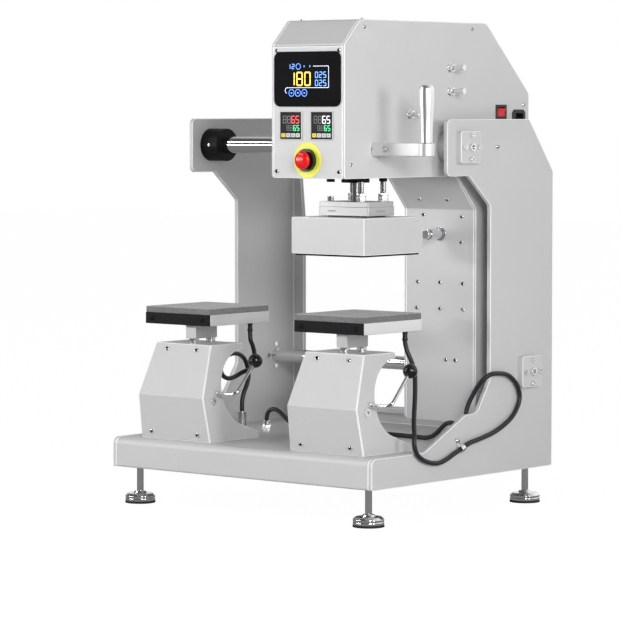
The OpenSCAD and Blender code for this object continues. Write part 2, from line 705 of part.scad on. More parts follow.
module press_actuator() {
    color("dimgray") difference() {
        union() {
            translate([head_x, py, act_z]) linear_extrude(act_h) round_rect(64, 64, 8);
            rod_z(head_x, py, deck_z - 9, deck_z, 48);
            for (p = guide_pts) rod_z(head_x + p.x, py + 4 + p.y, deck_z - 7, deck_z + deck_t + 26, bush_d);
            rod_z(head_x - rod_dx, py + 4 - rod_dy, deck_z - 8, deck_z, bush_d);
        }
        rod_z(head_x, py, deck_z - 10, act_z + act_h - 10, ram_d + 2 * slide_fit);
        for (p = guide_pts)
            rod_z(head_x + p.x, py + 4 + p.y, deck_z - 10, deck_z + deck_t + 30, rod_d + 2 * slide_fit);
    }
}

// ---- Front panel pieces ----
module display() {
    color("dimgray") union() {
        along_y(hy - 2.5, hy) translate([station_x, disp_z]) round_rect(display_w, display_h, 12);
        along_y(hy, hy + 16) translate([station_x, disp_z])
            round_rect(display_w - 12 - 2 * seam, display_h - 12 - 2 * seam, 2);
    }
}
ctrl_out = 2;
key_w = 8.6;
key_h = 6.8;
key_z = ctrl_z - 16.2;
key_back = hy - ctrl_out + 2.2;
function key_x(c, k) = station_x + ctrl_dx[c] - 15.6 + 10.4 * k;
module controllers() {
    color("whitesmoke") for (c = [0, 1]) translate([station_x + ctrl_dx[c], 0, 0]) difference() {
        union() {
            along_y(hy - ctrl_out, hy) translate([0, ctrl_z]) round_rect(ctrl_w, ctrl_w, 2);
            along_y(hy, hy + 62) translate([0, ctrl_z]) round_rect(44, 44, 1);
        }
        along_y(hy - ctrl_out - 1, hy - ctrl_out + 0.6) translate([0, ctrl_z + 5])
            round_rect(ctrl_w - 6, ctrl_w - 17, 1);
        for (k = [0 : 3]) box(-15.6 + 10.4 * k - key_w / 2 - 0.2, -15.6 + 10.4 * k + key_w / 2 + 0.2,
            hy - ctrl_out - 1, key_back + 1, key_z - key_h / 2 - 0.2, key_z + key_h / 2 + 0.2);
    }
}
module key(c, k) {
    along_y(key_back - 3, key_back) translate([key_x(c, k), key_z]) round_rect(key_w, key_h, 1);
}
module estop_collar() {
    color("dimgray") difference() {
        union() {
            rod_y(station_x, hy - 1, hy, stop_z, legend_d);
            rod_y(station_x, hy - 8, hy - 1, stop_z, 38);
            rod_y(station_x, hy, hy + 34, stop_z, 22);
            rod_y(station_x, hy + panel_t, hy + panel_t + 5, stop_z, 30);
        }
        rod_y(station_x, hy - 11, hy + 30, stop_z, 16 + 2 * slide_fit);
    }
}
module estop_button() {
    color("red") translate([station_x, hy, stop_z]) rotate([90, 0, 0]) rotate_extrude()
        polygon([[0, -24], [8, -24], [8, 12], [stop_d / 2 - 0.5, 12], [stop_d / 2, 13],
            [stop_d / 2, 16], [stop_d / 2 - 2, 18.4], [stop_d / 2 - 6, 20], [0, 21]]);
}
// ---- Right side pieces ----
module rear_inlet() {
    color("dimgray") {
        difference() {
            union() {
                box(cx1, cx1 + 2, rocker_y - 15.5, rocker_y + 15.5, rocker_z - 12.5, rocker_z + 12.5);
                box(ix1 - 18, cx1, rocker_y - 12.7, rocker_y + 12.7, rocker_z - 9.7, rocker_z + 9.7);
            }
            box(cx1 - 17, cx1 + 3, rocker_y - 11, rocker_y + 11, rocker_z - 8, rocker_z + 8);
            rod_y(rocker_x, rocker_y - 11.9, rocker_y + 11.9, rocker_z, 3 + 2 * slide_fit);
        }
        difference() {
            union() {
                along_x(cx1, cx1 + 3) polygon([[inlet_y - 18, inlet_z - 14], [inlet_y + 18, inlet_z - 14],
                    [inlet_y + 18, inlet_z + 9], [inlet_y + 13, inlet_z + 14],
                    [inlet_y - 13, inlet_z + 14], [inlet_y - 18, inlet_z + 9]]);
                box(ix1 - 24, cx1, inlet_y - 13.7, inlet_y + 13.7, inlet_z - 9.7, inlet_z + 9.7);
            }
            box(cx1 - 16, cx1 + 4, inlet_y - 11.5, inlet_y + 11.5, inlet_z - 7.5, inlet_z + 7.5);
            for (p = [[-7, -2], [0, 3], [7, -2]])
                box(cx1 - 20, cx1, inlet_y + p[0] - 1.2, inlet_y + p[0] + 1.2, inlet_z + p[1] - 2.4,
                    inlet_z + p[1] + 2.4);
        }
        for (p = [[-7, -2], [0, 3], [7, -2]])
            box(cx1 - 20, cx1 - 4, inlet_y + p[0] - 1.2, inlet_y + p[0] + 1.2, inlet_z + p[1] - 2.4,
                inlet_z + p[1] + 2.4);
    }
}
module rocker_switch() {
    color("red") translate([rocker_x, rocker_y, rocker_z]) {
        rotate([0, 8, 0]) along_y(-10.6, 10.6)
            polygon([[-2, -6.5], [6.6, -7], [5.6, 0], [6.6, 7], [-2, 6.5]]);
        rod_y(0, -11.6, 11.6, 0, 3);
    }
}
module adjust_studs() {
    color("silver") for (s = studs) {
        rod_x(ix1 - 14, cx1 + s[2], s[0], s[1], 8);
        face_x(cx1, s[0], s[1]) cylinder(d = 17, h = 1.6);
        face_x(cx1 + 1.6, s[0], s[1]) cylinder(d = 13 / cos(30), h = 6.5, $fn = 6);
        rod_x(cx1 + s[2] - 8, cx1 + s[2], s[0], s[1], 11);
    }
}
conn_z = zt + 361.5;
module column_connector() {
    x = station_x + 2;
    color("silver") {
        rod_y(x, col_y0, col_y0 + 12, conn_z, 14);
        rod_y(x, col_y0 - 3, col_y0, conn_z, 24);
        rod_y(x, col_y0 - 18, col_y0 - 3, conn_z, 17);
        rod_y(x, col_y0 - 36, col_y0 - 18, conn_z, 19);
        rod_y(x, col_y0 - 46, col_y0 - 36, conn_z, 15);
    }
}
column_screws = [[-36, 394.5], [48, 392.5], [47, 347.5], [-48.5, 276], [0.5, 276.3], [51, 275.8],
    [-50.5, 230], [0.5, 230.2], [51, 230.5], [14, 140.9], [34.8, 140.9]];
// Places a screw square to the slope between the head and the column
module on_slope(x, along) {
    run = [col_y0 - under_y, under_z - head_z0];
    at = [under_y, head_z0] + along * run / norm(run);
    translate([x, at.x, at.y]) rotate([90 + atan(-run.x / run.y), 0, 0]) children();
}
module cover_screws() {
    color("silver") {
        for (x = [-32.5, 28.5]) on_slope(station_x + x, 55.8) pan_head(7, 2.2);
        for (s = [-1, 1], z = [panel_top - 7, head_z0 + 11.5])
            face_y(station_x + s * (head_w / 2 - 11.7), hy, z) pan_head();
        for (p = column_screws) face_y(station_x + p[0], col_y0, zt + p[1]) pan_head(7, 2.2);
        for (p = [[hy + brow + 9, head_z1 - 12.5], [top_back - 42, head_z1 - 10.7], [hy + 16, head_z0 + 23.5],
                [col_y1 - 16, slope_z - 20], [col_y1 - 16, col_z0 + 20], [col_y0 + 16, col_z0 + 20]]) {
            face_x(cx1, p[0], p[1]) pan_head();
            face_nx(cx0, p[0], p[1]) pan_head();
        }
        translate([ix0 + 8, hy + brow + 22, head_z1]) pan_head();
        translate([ix1 - 8, hy + brow + 22, head_z1]) pan_head();
    }
}

// ---- Shuttle handle ----
pin_d = 8;
module handle_arm() {
    r = arm_t / 2;
    color("silver") {
        difference() {
            union() {
                box(cx1, grip_x, arm_y - r, arm_y + r, arm_z - arm_t / 2, arm_z + arm_t / 2);
                rod_z(grip_x, arm_y, arm_z - arm_t / 2, arm_z + arm_t / 2, 27);
                rod_z(grip_x, arm_y, arm_z, arm_z + arm_t / 2 + grip_h - 3, pin_d);
                for (d = arm_bolts) rod_x(cx1 - cover_t - 6, cx1 + 2, arm_y + d, arm_z, 5);
            }
            rod_y(cx1 + 27, arm_y - r - 1, arm_y - r + 4, arm_z, 9);
        }
        face_y(cx1 + 27, arm_y - r + 4, arm_z) cap_screw(1, 8, 5.5, 0);
        face_y(cx1 + 37, arm_y - r, arm_z) cylinder(d = 4, h = 0.8);
    }
}
module handle_grip() {
    r = grip_d / 2;
    color("silver") translate([grip_x, arm_y, arm_z + arm_t / 2 + 0.1]) difference() {
        rotate_extrude() polygon([[0, 0], [9.5, 0], [10, 1], [10.2, 20], [11, 42], [12.2, 60],
            [r, 76], [r, 86], [r - 0.7, 90.5], [r - 2.6, 94], [r - 5.4, grip_h], [0, grip_h]]);
        translate([0, 0, -1]) cylinder(d = pin_d + 2 * slide_fit, h = grip_h - 1);
    }
}

// ---- Press head ----
module press_rods() {
    color("whitesmoke") {
        rod_z(head_x, py, clamp_top, act_z + act_h - 12 - stroke, ram_d);
        for (p = guide_pts) rod_z(head_x + p.x, py + 4 + p.y, clamp_top - 12, deck_z + deck_t + 24, rod_d);
    }
}
module clamp_block() {
    lip = 9;
    slit_z = 7;
    slit_h = 1.5;
    color("silver") difference() {
        translate([head_x - 1, py + 4, clamp_z]) union() {
            linear_extrude(clamp_h - lip) round_rect(clamp_w, clamp_dep, 2);
            translate([0, 0, clamp_h - lip]) linear_extrude(lip)
                round_rect(clamp_w - 1.6, clamp_dep - 1.6, 2);
        }
        for (p = guide_pts)
            rod_z(head_x + p.x, py + 4 + p.y, clamp_top - 12, clamp_top + 1, rod_d + 2 * slide_fit);
        rod_z(head_x - rod_dx, py + 4 - rod_dy, clamp_z - 1, clamp_top + 1, 6 + 2 * slide_fit);
        translate([head_x, py, clamp_z + slit_z]) {
            box(-34, -18, 3 - clamp_dep / 2, 5 - clamp_dep / 2, 0, slit_h);
            box(clamp_w / 2 - 2, clamp_w / 2, -9, 16, 0, slit_h);
        }
    }
}
// Cover with a lower step at its rear, grown by g on every side but its open bottom
module cover_form(g) {
    along_x(head_x - heat_w / 2 - g, head_x + heat_w / 2 + g)
        polygon([[py - heat_front - g, heat_z], [py + heat_back + g, heat_z],
            [py + heat_back + g, heat_top - 9 + g], [py + heat_back - 21 + g, heat_top - 9 + g],
            [py + heat_back - 21 + g, heat_top + g], [py - heat_front - g, heat_top + g]]);
}
// Two spacers carry the heating plate on the clamp block, through the cover's top
spacer_w = 16;
module at_spacers() {
    for (s = [-1, 1]) translate([head_x - 1 + s * 36, py + 4, 0]) children();
}
module heater_cover() {
    color("gainsboro") difference() {
        cover_form(0);
        translate([0, 0, -0.01]) cover_form(-cover_wall);
        at_spacers() box(-spacer_w / 2 - 1, spacer_w / 2 + 1, -24, 24, heat_top - 3, heat_top + 1);
    }
}
module heating_plate() {
    w = plate_side / 2 - 1;
    color("dimgray") {
        box(head_x - w, head_x + w, py - heat_front + 4, py + heat_back - 5, plate_z, plate_z + 18);
        box(head_x - heat_w / 2 + cover_wall + seam, head_x + heat_w / 2 - cover_wall - seam,
            py - heat_front + cover_wall + seam, py + heat_back - cover_wall - seam,
            plate_z + 18, plate_z + 24);
        at_spacers() box(-spacer_w / 2, spacer_w / 2, -23, 23, plate_z + 18, clamp_z);
    }
}
module block_fasteners() {
    color("silver") {
        for (p = guide_pts) translate([head_x + p.x, py + 4 + p.y, clamp_top]) hex_nut(16, 8, rod_d);
        for (p = guide_pts) translate([head_x + p.x, py + 4 + p.y, clamp_top + 8.2]) hex_nut(16, 5, rod_d);
        translate([head_x - rod_dx, py + 4 - rod_dy, clamp_top]) cap_screw(6, 11, 9, 20);
    }
}

// ---- Cables ----
plug_h = 42.5;
clip_y = -18;
clip_z = 117.5;
clip_tilt = 18.8;
cable_left_pts = [[-115, -91, platen_z - 8], [-115, -91, platen_z - 18], [-113, -92, 289], [-106, -94, 278],
    [-99, -98, 266], [-97, -101, 254], [-103, -99, 243], [-114, -92, 237], [-126, -86, 234],
    [-136, -90, 229], [-139, -104, 223], [-137, -124, 221], [-134, -142, 227], [-131, -152, 239],
    [-130, -151, 251], [-130, -139, 261], [-132, -120, 265], [-134, -100, 263], [-136, -83, 254],
    [-137, -73, 239], [-137, -70, 223], [-137, -74, 208], [-137, -82, 194], [-137, -87, 180],
    [-137, -88, 168], [-137, -88, zt + plug_h]];
cable_right_pts = [[234, -91, platen_z - 8], [234, -91, platen_z - 18], [237, -89, 286], [246, -87, 266],
    [256, -92, 246], [264, -101, 224], [271, -111, 202], [279, -123, 182], [288, -135, 165],
    [297, -145, 150], [300.5, -150, 135], [300.5, -144, 120], [300.5, -130, 109], [300.5, -108, 101],
    [300.5, -84, 98], [300.5, -62, 102], [300.5, -40, 110], [300.5, -18, 117.5], [300.5, 4, 125],
    [300.5, 34, 130], [300.5, 70, 137], [300.5, 100, 147], [300.5, 126, 160], [300.5, 143, 177],
    [300.5, 150, 195], [300.5, 143, 214], [300.5, 128, 228], [300.5, 108, 237], [300.5, 80, 240],
    [298, 64, 238], [290, 55, 229], [281, 51, 216], [273, 48, 201], [268, 43, 186], [266, 40, 172],
    [266, 40, zt + plug_h]];
base_lead_pts = [[-186, 37, zt + 14], [-186, 37, zt + 19], [-184, 37.2, zt + 27], [-178, 37.6, zt + 33],
    [-169, 38.3, zt + 35], [-159, 39.2, zt + 32], [-149, 40, zt + 25], [-138, 41, zt + 16],
    [-124, 43, zt + 8], [-106, 46, zt + 4.2], [-66, 52, zt + 4.2], [-26, 57, zt + 4.2],
    [20, 60, zt + 4.2], [66, 60, zt + 4.2], [110, 58, zt + 4.2], [150, 54, zt + 4.2],
    [168, 52, zt + 4.2], [184, 50, zt + 8], [197, 48.6, zt + 16], [207, 47.8, zt + 25],
    [217, 47, zt + 32], [227, 46.4, zt + 35], [236, 46.1, zt + 33], [242, 46, zt + 27],
    [244, 46, zt + 19], [244, 46, zt + 14]];
module cable_left() {
    color("dimgray") {
        tube(cable_left_pts, cable_d);
        rod_z(stations[0] + gland_dx[0], gland_y, platen_z - 16, platen_z + 7, sleeve_d);
    }
}
module cable_right() {
    color("dimgray") {
        tube(cable_right_pts, cable_d);
        rod_z(stations[1] + gland_dx[1], gland_y, platen_z - 16, platen_z + 7, sleeve_d);
    }
}
module base_lead() { color("dimgray") tube(base_lead_pts, cable_d); }
module cable_sockets() {
    color("silver") {
        for (p = [plug_l, plug_r]) {
            rod_z(p.x, p.y, zt - 20, zt, 14);
            rod_z(p.x, p.y, zt, zt + 4, 22);
        }
        for (p = [lead_a, lead_b]) {
            rod_z(p.x, p.y, zt - 10, zt, 12);
            translate([p.x, p.y, zt]) cylinder(d = 18, h = 6, $fn = 6);
            rod_z(p.x, p.y, zt + 6, zt + 14, 14);
        }
        translate([x_out + 6.5, clip_y, clip_z]) rotate([clip_tilt, 0, 0]) difference() {
            union() {
                rod_y(0, -5, 5, 0, 13);
                translate([-6.5, -5, 0]) cube([2, 10, 20]);
            }
            rod_y(0, -6, 6, 0, cable_d + 1);
        }
        translate([x_out + 2, clip_y, clip_z]) rotate([clip_tilt, 0, 0]) translate([0, 0, 14])
            rotate([0, 90, 0]) pan_head(7, 2.4);
    }
}
module cable_plugs() {
    color("whitesmoke") for (p = [plug_l, plug_r]) {
        rod_z(p.x, p.y, zt + 4, zt + 16, 19);
        rod_z(p.x, p.y, zt + 16, zt + plug_h, 16);
    }
}

base_tray();
side_plate_left();
side_plate_right();
foot_pads();
levelling_feet();
foot_nuts();
upper_shaft();
lower_bar();
collar_left();
collar_right();
shaft_flanges();
frame_screws();
pedestal_bodies();
pedestal_covers();
pedestal_fasteners();
platen_posts();
platen_bodies();
platen_pads();
platen_end_plates();
cable_sockets();
cable_left();
cable_right();
base_lead();
cable_plugs();
lever_left();
lever_right();
knob_left();
knob_right();
side_cover_left();
side_cover_right();
front_panel();
head_wrap();
head_base();
column_cover();
linear_bearings();
press_actuator();
display();
controllers();
estop_collar();
rear_inlet();
adjust_studs();
cover_screws();
column_connector();
handle_arm();
handle_grip();
estop_button();
rocker_switch();
press_rods();
clamp_block();
heater_cover();
heating_plate();
block_fasteners();
color("gold") key(0, 0);  // key_a1
color("gray") key(0, 1);  // key_a2
color("gray") key(0, 2);  // key_a3
color("gray") key(0, 3);  // key_a4
color("gold") key(1, 0);  // key_b1
color("gray") key(1, 1);  // key_b2
color("gray") key(1, 2);  // key_b3
color("gray") key(1, 3);  // key_b4
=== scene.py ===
import json
import math

import bmesh
import bpy
from mathutils import Matrix, Vector


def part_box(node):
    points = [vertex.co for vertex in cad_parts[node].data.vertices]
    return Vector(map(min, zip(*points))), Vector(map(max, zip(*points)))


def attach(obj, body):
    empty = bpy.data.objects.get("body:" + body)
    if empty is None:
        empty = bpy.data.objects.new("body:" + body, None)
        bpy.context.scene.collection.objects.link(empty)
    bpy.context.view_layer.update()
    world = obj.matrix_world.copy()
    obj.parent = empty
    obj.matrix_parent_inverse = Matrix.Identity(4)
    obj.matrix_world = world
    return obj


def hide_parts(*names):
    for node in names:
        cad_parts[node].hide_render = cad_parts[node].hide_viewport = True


bl_info = {
    "name": "Shuttle heat press",
    "version": (1, 0, 0),
    "blender": (4, 5, 0),
    "location": "View3D > Sidebar > Heat press",
    "description": "Dresses a dual-station shuttle heat press: finishes, cables, pads, "
                   "display and stage",
    "category": "Object",
}

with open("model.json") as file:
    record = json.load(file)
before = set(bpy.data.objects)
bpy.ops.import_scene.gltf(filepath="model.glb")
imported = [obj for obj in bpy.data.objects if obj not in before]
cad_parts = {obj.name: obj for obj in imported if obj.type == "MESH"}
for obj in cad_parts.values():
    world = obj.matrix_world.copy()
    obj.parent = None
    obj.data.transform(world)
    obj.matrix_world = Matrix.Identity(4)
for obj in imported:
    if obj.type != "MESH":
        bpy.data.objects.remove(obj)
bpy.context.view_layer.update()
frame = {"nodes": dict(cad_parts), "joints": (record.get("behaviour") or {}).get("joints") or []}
NODES = frame["nodes"]
MM = 0.001

# ---- Rounding of the edges by kind of piece, in metres ----
FINE = 0.0003    # small fasteners and keys
SMALL = 0.0004   # rods, knobs, switches and instrument bezels
TURNED = 0.0005  # feet, plugs, sockets and blackened plates
BLOCK = 0.0006   # milled blocks, platens, foot pads and the stop button
FLANGE = 0.0009
SHAFT = 0.001
GRIP = 0.0012

# ---- Press rods, in metres ----
STROKE = -next(j for j in frame["joints"] if j["name"] == "press_stroke")["range_m"][0]
ROD_PLACES = (  # x and y from the middle of the rods' box, then the radius; the ram comes first
    (0, -0.004, 0.008), (0.033, -0.03, 0.005), (-0.033, 0.03, 0.005), (0.033, 0.03, 0.005))

# ---- Instruments, in metres ----
LIT_DEPTH = 0.00015     # how far a lit stroke stands out of its glass
GLASS_IN = 0.0006       # how far a controller's glass lies behind its bezel
PAINTED_HIGHLIGHT_WIDTH = 0.0014      # width of the pale line, a painted highlight, around a controller
COLLAR_R = 0.0192       # the stop button's collar ends and its legend disc begins here
MARK = 0.0013           # half the width of a key's mark
KEY_MARKS = (           # select, left, down and up, in shares of MARK
    ((-1, 0), (1, 0)), ((1, 1), (-0.6, 0), (1, -1)),
    ((-1, 0.6), (0, -0.8), (1, 0.6)), ((-1, -0.6), (0, 0.8), (1, -0.6)))
# Width, height and pitch of the digits
TEMPERATURE = (0.0113, 0.0213, 0.0172)
COUNT = (0.0054, 0.0092, 0.0087)
STATION = (0.0052, 0.0076, 0.0092)
VALUE = (0.0062, 0.0116, 0.0092)
SETTING = (0.0046, 0.0084, 0.0072)

# ---- Strain reliefs: sizes in metres, heights in millimetres from the platens' underside ----
RELIEF_TIP, RELIEF_TOP, RELIEF_LONG = 0.0052, 0.006, 0.023
RELIEF_MIDDLE = -4.5
RELIEF_WAISTS = (-13, -10.5, -8)
WAIST_IN = 0.12  # share of the radius that a waist draws in

# ---- Foam pads, in metres ----
PAD_WIDTH = 0.150
PAD_CORNER = 0.003

# ---- Stage ----
LIGHTS = (  # name, place, width, height and power
    ("key_strip_high", (-2.4, -2.8, 2.7), 2.4, 0.24, 40),
    ("key_strip_low", (-2.4, -2.8, 0.8), 2.4, 0.24, 38),
    ("fill_light", (3.3, -2.5, 1.5), 1.0, 1.0, 72),
    ("side_light", (3.9, -0.9, 0.9), 0.7, 0.7, 34))
LIT_POINT = Vector((0, 0, 0.4))  # every light points here
CAMERA_PLACE = (3.57303, -4.34966, 0.69844)
CAMERA_TILT, CAMERA_TURN = 90 - 3.6236, 39.8123  # degrees
CAMERA_LENS, CAMERA_SENSOR = 184.79, 36  # mm
AHEAD = (0.35, 0.93)         # level direction towards the bright end of the room
ROOM_IN_METAL = (0.1, 1.0)   # brightness of the dark and the bright end as bare metal mirrors it
FLOOR_IN_METAL = (0.2, 0.9)  # the same for the near and the far floor
FLOOR_WHITE = 1.03           # strength of the floor as it is seen
SOFT_LIGHT = 0.28            # strength of the room's light on dull surfaces


# ---- Sizes and colours that a user may change ----
class PressSizes(bpy.types.PropertyGroup):
    edge: bpy.props.FloatProperty(
        name="Sheet edge", description="Rounding of the folded sheet's edges",
        default=0.0011, min=0.0, max=0.003, unit="LENGTH")
    cable: bpy.props.FloatProperty(
        name="Cable", description="Diameter of the cables",
        default=0.008, min=0.004, max=0.012, unit="LENGTH")
    stroke: bpy.props.FloatProperty(
        name="Digit stroke", description="Width of the strokes of the large digits",
        default=0.0024, min=0.0005, max=0.004, unit="LENGTH")
    pad_edge: bpy.props.FloatProperty(
        name="Pad edge", description="Rounding of the foam pads' edges",
        default=0.0012, min=0.0, max=0.004, unit="LENGTH")


class PressColours(bpy.types.PropertyGroup):
    frame_paint: bpy.props.FloatVectorProperty(
        name="Frame paint", description="Powder coat of the base and side plates",
        subtype="COLOR", default=(0.58, 0.58, 0.585), min=0, max=1)
    cover_paint: bpy.props.FloatVectorProperty(
        name="Cover paint", description="Powder coat of the carriage and heater covers",
        subtype="COLOR", default=(0.6, 0.6, 0.605), min=0, max=1)
    black: bpy.props.FloatVectorProperty(
        name="Black", description="Black plastic and blackened steel",
        subtype="COLOR", default=(0.008, 0.008, 0.009), min=0, max=1)
    foam: bpy.props.FloatVectorProperty(
        name="Foam", description="Silicone foam of the platen pads",
        subtype="COLOR", default=(0.3, 0.3, 0.303), min=0, max=1)
    digits: bpy.props.FloatVectorProperty(
        name="Digits", description="Light of the large display digits",
        subtype="COLOR", default=(1.0, 0.62, 0.05), min=0, max=1)
    stop: bpy.props.FloatVectorProperty(
        name="Stop button", description="Emergency stop button",
        subtype="COLOR", default=(0.75, 0.004, 0.006), min=0, max=1)


# ---- Material helpers ----
def new_material(name):
    mat = bpy.data.materials.new(name)
    mat.use_nodes = True
    nodes = mat.node_tree.nodes
    return mat, nodes, mat.node_tree.links, nodes["Principled BSDF"]


def coords(nodes, links, scale=(1.0, 1.0, 1.0)):
    """Object coordinates, stretched."""
    tex = nodes.new("ShaderNodeTexCoord")
    mapping = nodes.new("ShaderNodeMapping")
    mapping.inputs["Scale"].default_value = scale
    links.new(tex.outputs["Object"], mapping.inputs["Vector"])
    return mapping.outputs["Vector"]


def axes(nodes, links, source="Object"):
    """X, Y and Z of the object coordinates, or of the normal."""
    parts = nodes.new("ShaderNodeSeparateXYZ")
    links.new(nodes.new("ShaderNodeTexCoord").outputs[source], parts.inputs["Vector"])
    return parts.outputs


def noise(nodes, links, vector, scale, detail=2.0, rough=0.5):
    tex = nodes.new("ShaderNodeTexNoise")
    tex.inputs["Scale"].default_value = scale
    tex.inputs["Detail"].default_value = detail
    tex.inputs["Roughness"].default_value = rough
    links.new(vector, tex.inputs["Vector"])
    return tex.outputs["Fac"]


def remap(nodes, links, value, low, high, from_low=0.3, from_high=0.7):
    """Spreads a value, as a rule a noise that stays near its middle, over low to high."""
    node = nodes.new("ShaderNodeMapRange")
    node.inputs["From Min"].default_value = from_low
    node.inputs["From Max"].default_value = from_high
    node.inputs["To Min"].default_value = low
    node.inputs["To Max"].default_value = high
    links.new(value, node.inputs["Value"])
    return node.outputs["Result"]


def blend_colour(nodes, links, factor, dark, light):
    node = nodes.new("ShaderNodeMix")
    node.data_type = "RGBA"
    node.inputs["A"].default_value = (*dark, 1)
    node.inputs["B"].default_value = (*light, 1)
    links.new(factor, node.inputs["Factor"])
    return node.outputs["Result"]


def bump(nodes, links, bsdf, height, strength, distance):
    node = nodes.new("ShaderNodeBump")
    node.inputs["Strength"].default_value = strength
    node.inputs["Distance"].default_value = distance
    links.new(height, node.inputs["Height"])
    links.new(node.outputs["Normal"], bsdf.inputs["Normal"])


def shade(colour, factor):
    return tuple(min(1.0, c * factor) for c in colour)


def powder_coat(name, colour, rough=0.42):
    """Baked paint: faint cloudiness, fine orange peel and a soft gloss."""
    mat, nodes, links, bsdf = new_material(name)
    vec = coords(nodes, links)
    cloud = noise(nodes, links, vec, 6.0, 3.0)
    links.new(blend_colour(nodes, links, cloud, shade(colour, 0.965), shade(colour, 1.03)),
              bsdf.inputs["Base Color"])
    grain = noise(nodes, links, vec, 900.0, 2.0, 0.6)
    links.new(remap(nodes, links, grain, rough - 0.05, rough + 0.07), bsdf.inputs["Roughness"])
    bsdf.inputs["Coat Weight"].default_value = 0.12
    bsdf.inputs["Coat Roughness"].default_value = 0.25
    bump(nodes, links, bsdf, grain, 0.22, 0.0002)
    return mat


def turned_metal(name, colour, rough, grain=(1.0, 1.0, 1.0), depth=0.1):
    """Metal with fine tool marks along the stretched axes."""
    mat, nodes, links, bsdf = new_material(name)
    vec = coords(nodes, links, grain)
    marks = noise(nodes, links, vec, 1400.0, 2.0, 0.5)
    haze = noise(nodes, links, coords(nodes, links), 14.0, 3.0)
    links.new(blend_colour(nodes, links, haze, shade(colour, 0.93), shade(colour, 1.04)),
              bsdf.inputs["Base Color"])
    links.new(remap(nodes, links, marks, rough * 0.9, rough * 1.12), bsdf.inputs["Roughness"])
    bsdf.inputs["Metallic"].default_value = 1.0
    bump(nodes, links, bsdf, marks, depth, 0.0001)
    return mat


def moulded(name, colour, rough, scale=700.0, depth=0.25, shine=0.5):
    """Moulded plastic or rubber with a fine spark-eroded grain."""
    mat, nodes, links, bsdf = new_material(name)
    bsdf.inputs["Specular IOR Level"].default_value = shine
    vec = coords(nodes, links)
    grain = noise(nodes, links, vec, scale, 2.0)
    wear = noise(nodes, links, vec, 30.0, 4.0, 0.6)
    links.new(blend_colour(nodes, links, wear, shade(colour, 0.88), shade(colour, 1.15)),
              bsdf.inputs["Base Color"])
    links.new(remap(nodes, links, grain, rough - 0.06, rough + 0.08), bsdf.inputs["Roughness"])
    bump(nodes, links, bsdf, grain, depth, 0.0002)
    return mat


def glow(name, colour, strength):
    """A lit segment, bright and a little uneven along its strokes."""
    mat, nodes, links, bsdf = new_material(name)
    vec = coords(nodes, links)
    flicker = noise(nodes, links, vec, 260.0, 1.0)
    lit = blend_colour(nodes, links, flicker, shade(colour, 0.85), colour)
    links.new(lit, bsdf.inputs["Emission Color"])
    links.new(lit, bsdf.inputs["Base Color"])
    bsdf.inputs["Emission Strength"].default_value = strength
    bsdf.inputs["Roughness"].default_value = 0.4
    return mat


def math_node(nodes, links, operation, a, b=None):
    """One sum of numbers or sockets."""
    node = nodes.new("ShaderNodeMath")
    node.operation = operation
    for i, v in enumerate((a, b)):
        if v is None:
            continue
        if isinstance(v, (int, float)):
            node.inputs[i].default_value = v
        else:
            links.new(v, node.inputs[i])
    return node.outputs["Value"]


def foam(colour):
    """Cellular silicone foam, darker on its upright sides than on its top."""
    mat, nodes, links, bsdf = new_material("silicone_foam")
    vec = coords(nodes, links)
    cells = nodes.new("ShaderNodeTexVoronoi")
    cells.inputs["Scale"].default_value = 620.0
    links.new(vec, cells.inputs["Vector"])
    specks = remap(nodes, links, cells.outputs["Distance"], 0.0, 1.0, 0.1, 0.55)
    cloud = noise(nodes, links, vec, 11.0, 4.0)
    tone = math_node(nodes, links, "MULTIPLY", specks, remap(nodes, links, cloud, 0.75, 1.0))
    skin = blend_colour(nodes, links, tone, shade(colour, 0.55), shade(colour, 1.7))
    # the colour is multiplied down on upright faces, by how level the normal is
    cut = nodes.new("ShaderNodeMix")
    cut.data_type = "RGBA"
    cut.blend_type = "MULTIPLY"
    cut.inputs["B"].default_value = (0.42, 0.42, 0.42, 1)
    upward = axes(nodes, links, "Normal")["Z"]
    links.new(remap(nodes, links, upward, 1.0, 0.0, 0.2, 0.6), cut.inputs["Factor"])
    links.new(skin, cut.inputs["A"])
    links.new(cut.outputs["Result"], bsdf.inputs["Base Color"])
    bsdf.inputs["Roughness"].default_value = 0.8
    bsdf.inputs["Sheen Weight"].default_value = 0.15
    bump(nodes, links, bsdf, specks, 0.5, 0.0003)
    return mat


def stop_moulding(centre, black):
    """The stop button's black collar and yellow legend disc, one moulding, told by radius."""
    mat, nodes, links, bsdf = new_material("stop_legend_and_collar")
    at = axes(nodes, links)
    dx = math_node(nodes, links, "SUBTRACT", at["X"], centre.x)
    dz = math_node(nodes, links, "SUBTRACT", at["Z"], centre.z)
    square = math_node(nodes, links, "ADD", math_node(nodes, links, "MULTIPLY", dx, dx),
                       math_node(nodes, links, "MULTIPLY", dz, dz))
    radius = math_node(nodes, links, "SQRT", square)
    disc = math_node(nodes, links, "GREATER_THAN", radius, COLLAR_R)
    links.new(blend_colour(nodes, links, disc, black, (0.87, 0.86, 0.08)),
              bsdf.inputs["Base Color"])
    grain = noise(nodes, links, coords(nodes, links), 600.0)
    links.new(remap(nodes, links, grain, 0.28, 0.42), bsdf.inputs["Roughness"])
    bump(nodes, links, bsdf, grain, 0.12, 0.0002)
    return mat


def display_glass():
    """Dull black glass with faint smudges."""
    mat, nodes, links, bsdf = new_material("display_glass")
    smudge = noise(nodes, links, coords(nodes, links), 25.0, 4.0)
    links.new(remap(nodes, links, smudge, 0.22, 0.32), bsdf.inputs["Roughness"])
    bsdf.inputs["Specular IOR Level"].default_value = 0.01
    links.new(blend_colour(nodes, links, smudge, (0.004, 0.004, 0.005), (0.007, 0.007, 0.008)),
              bsdf.inputs["Base Color"])
    return mat


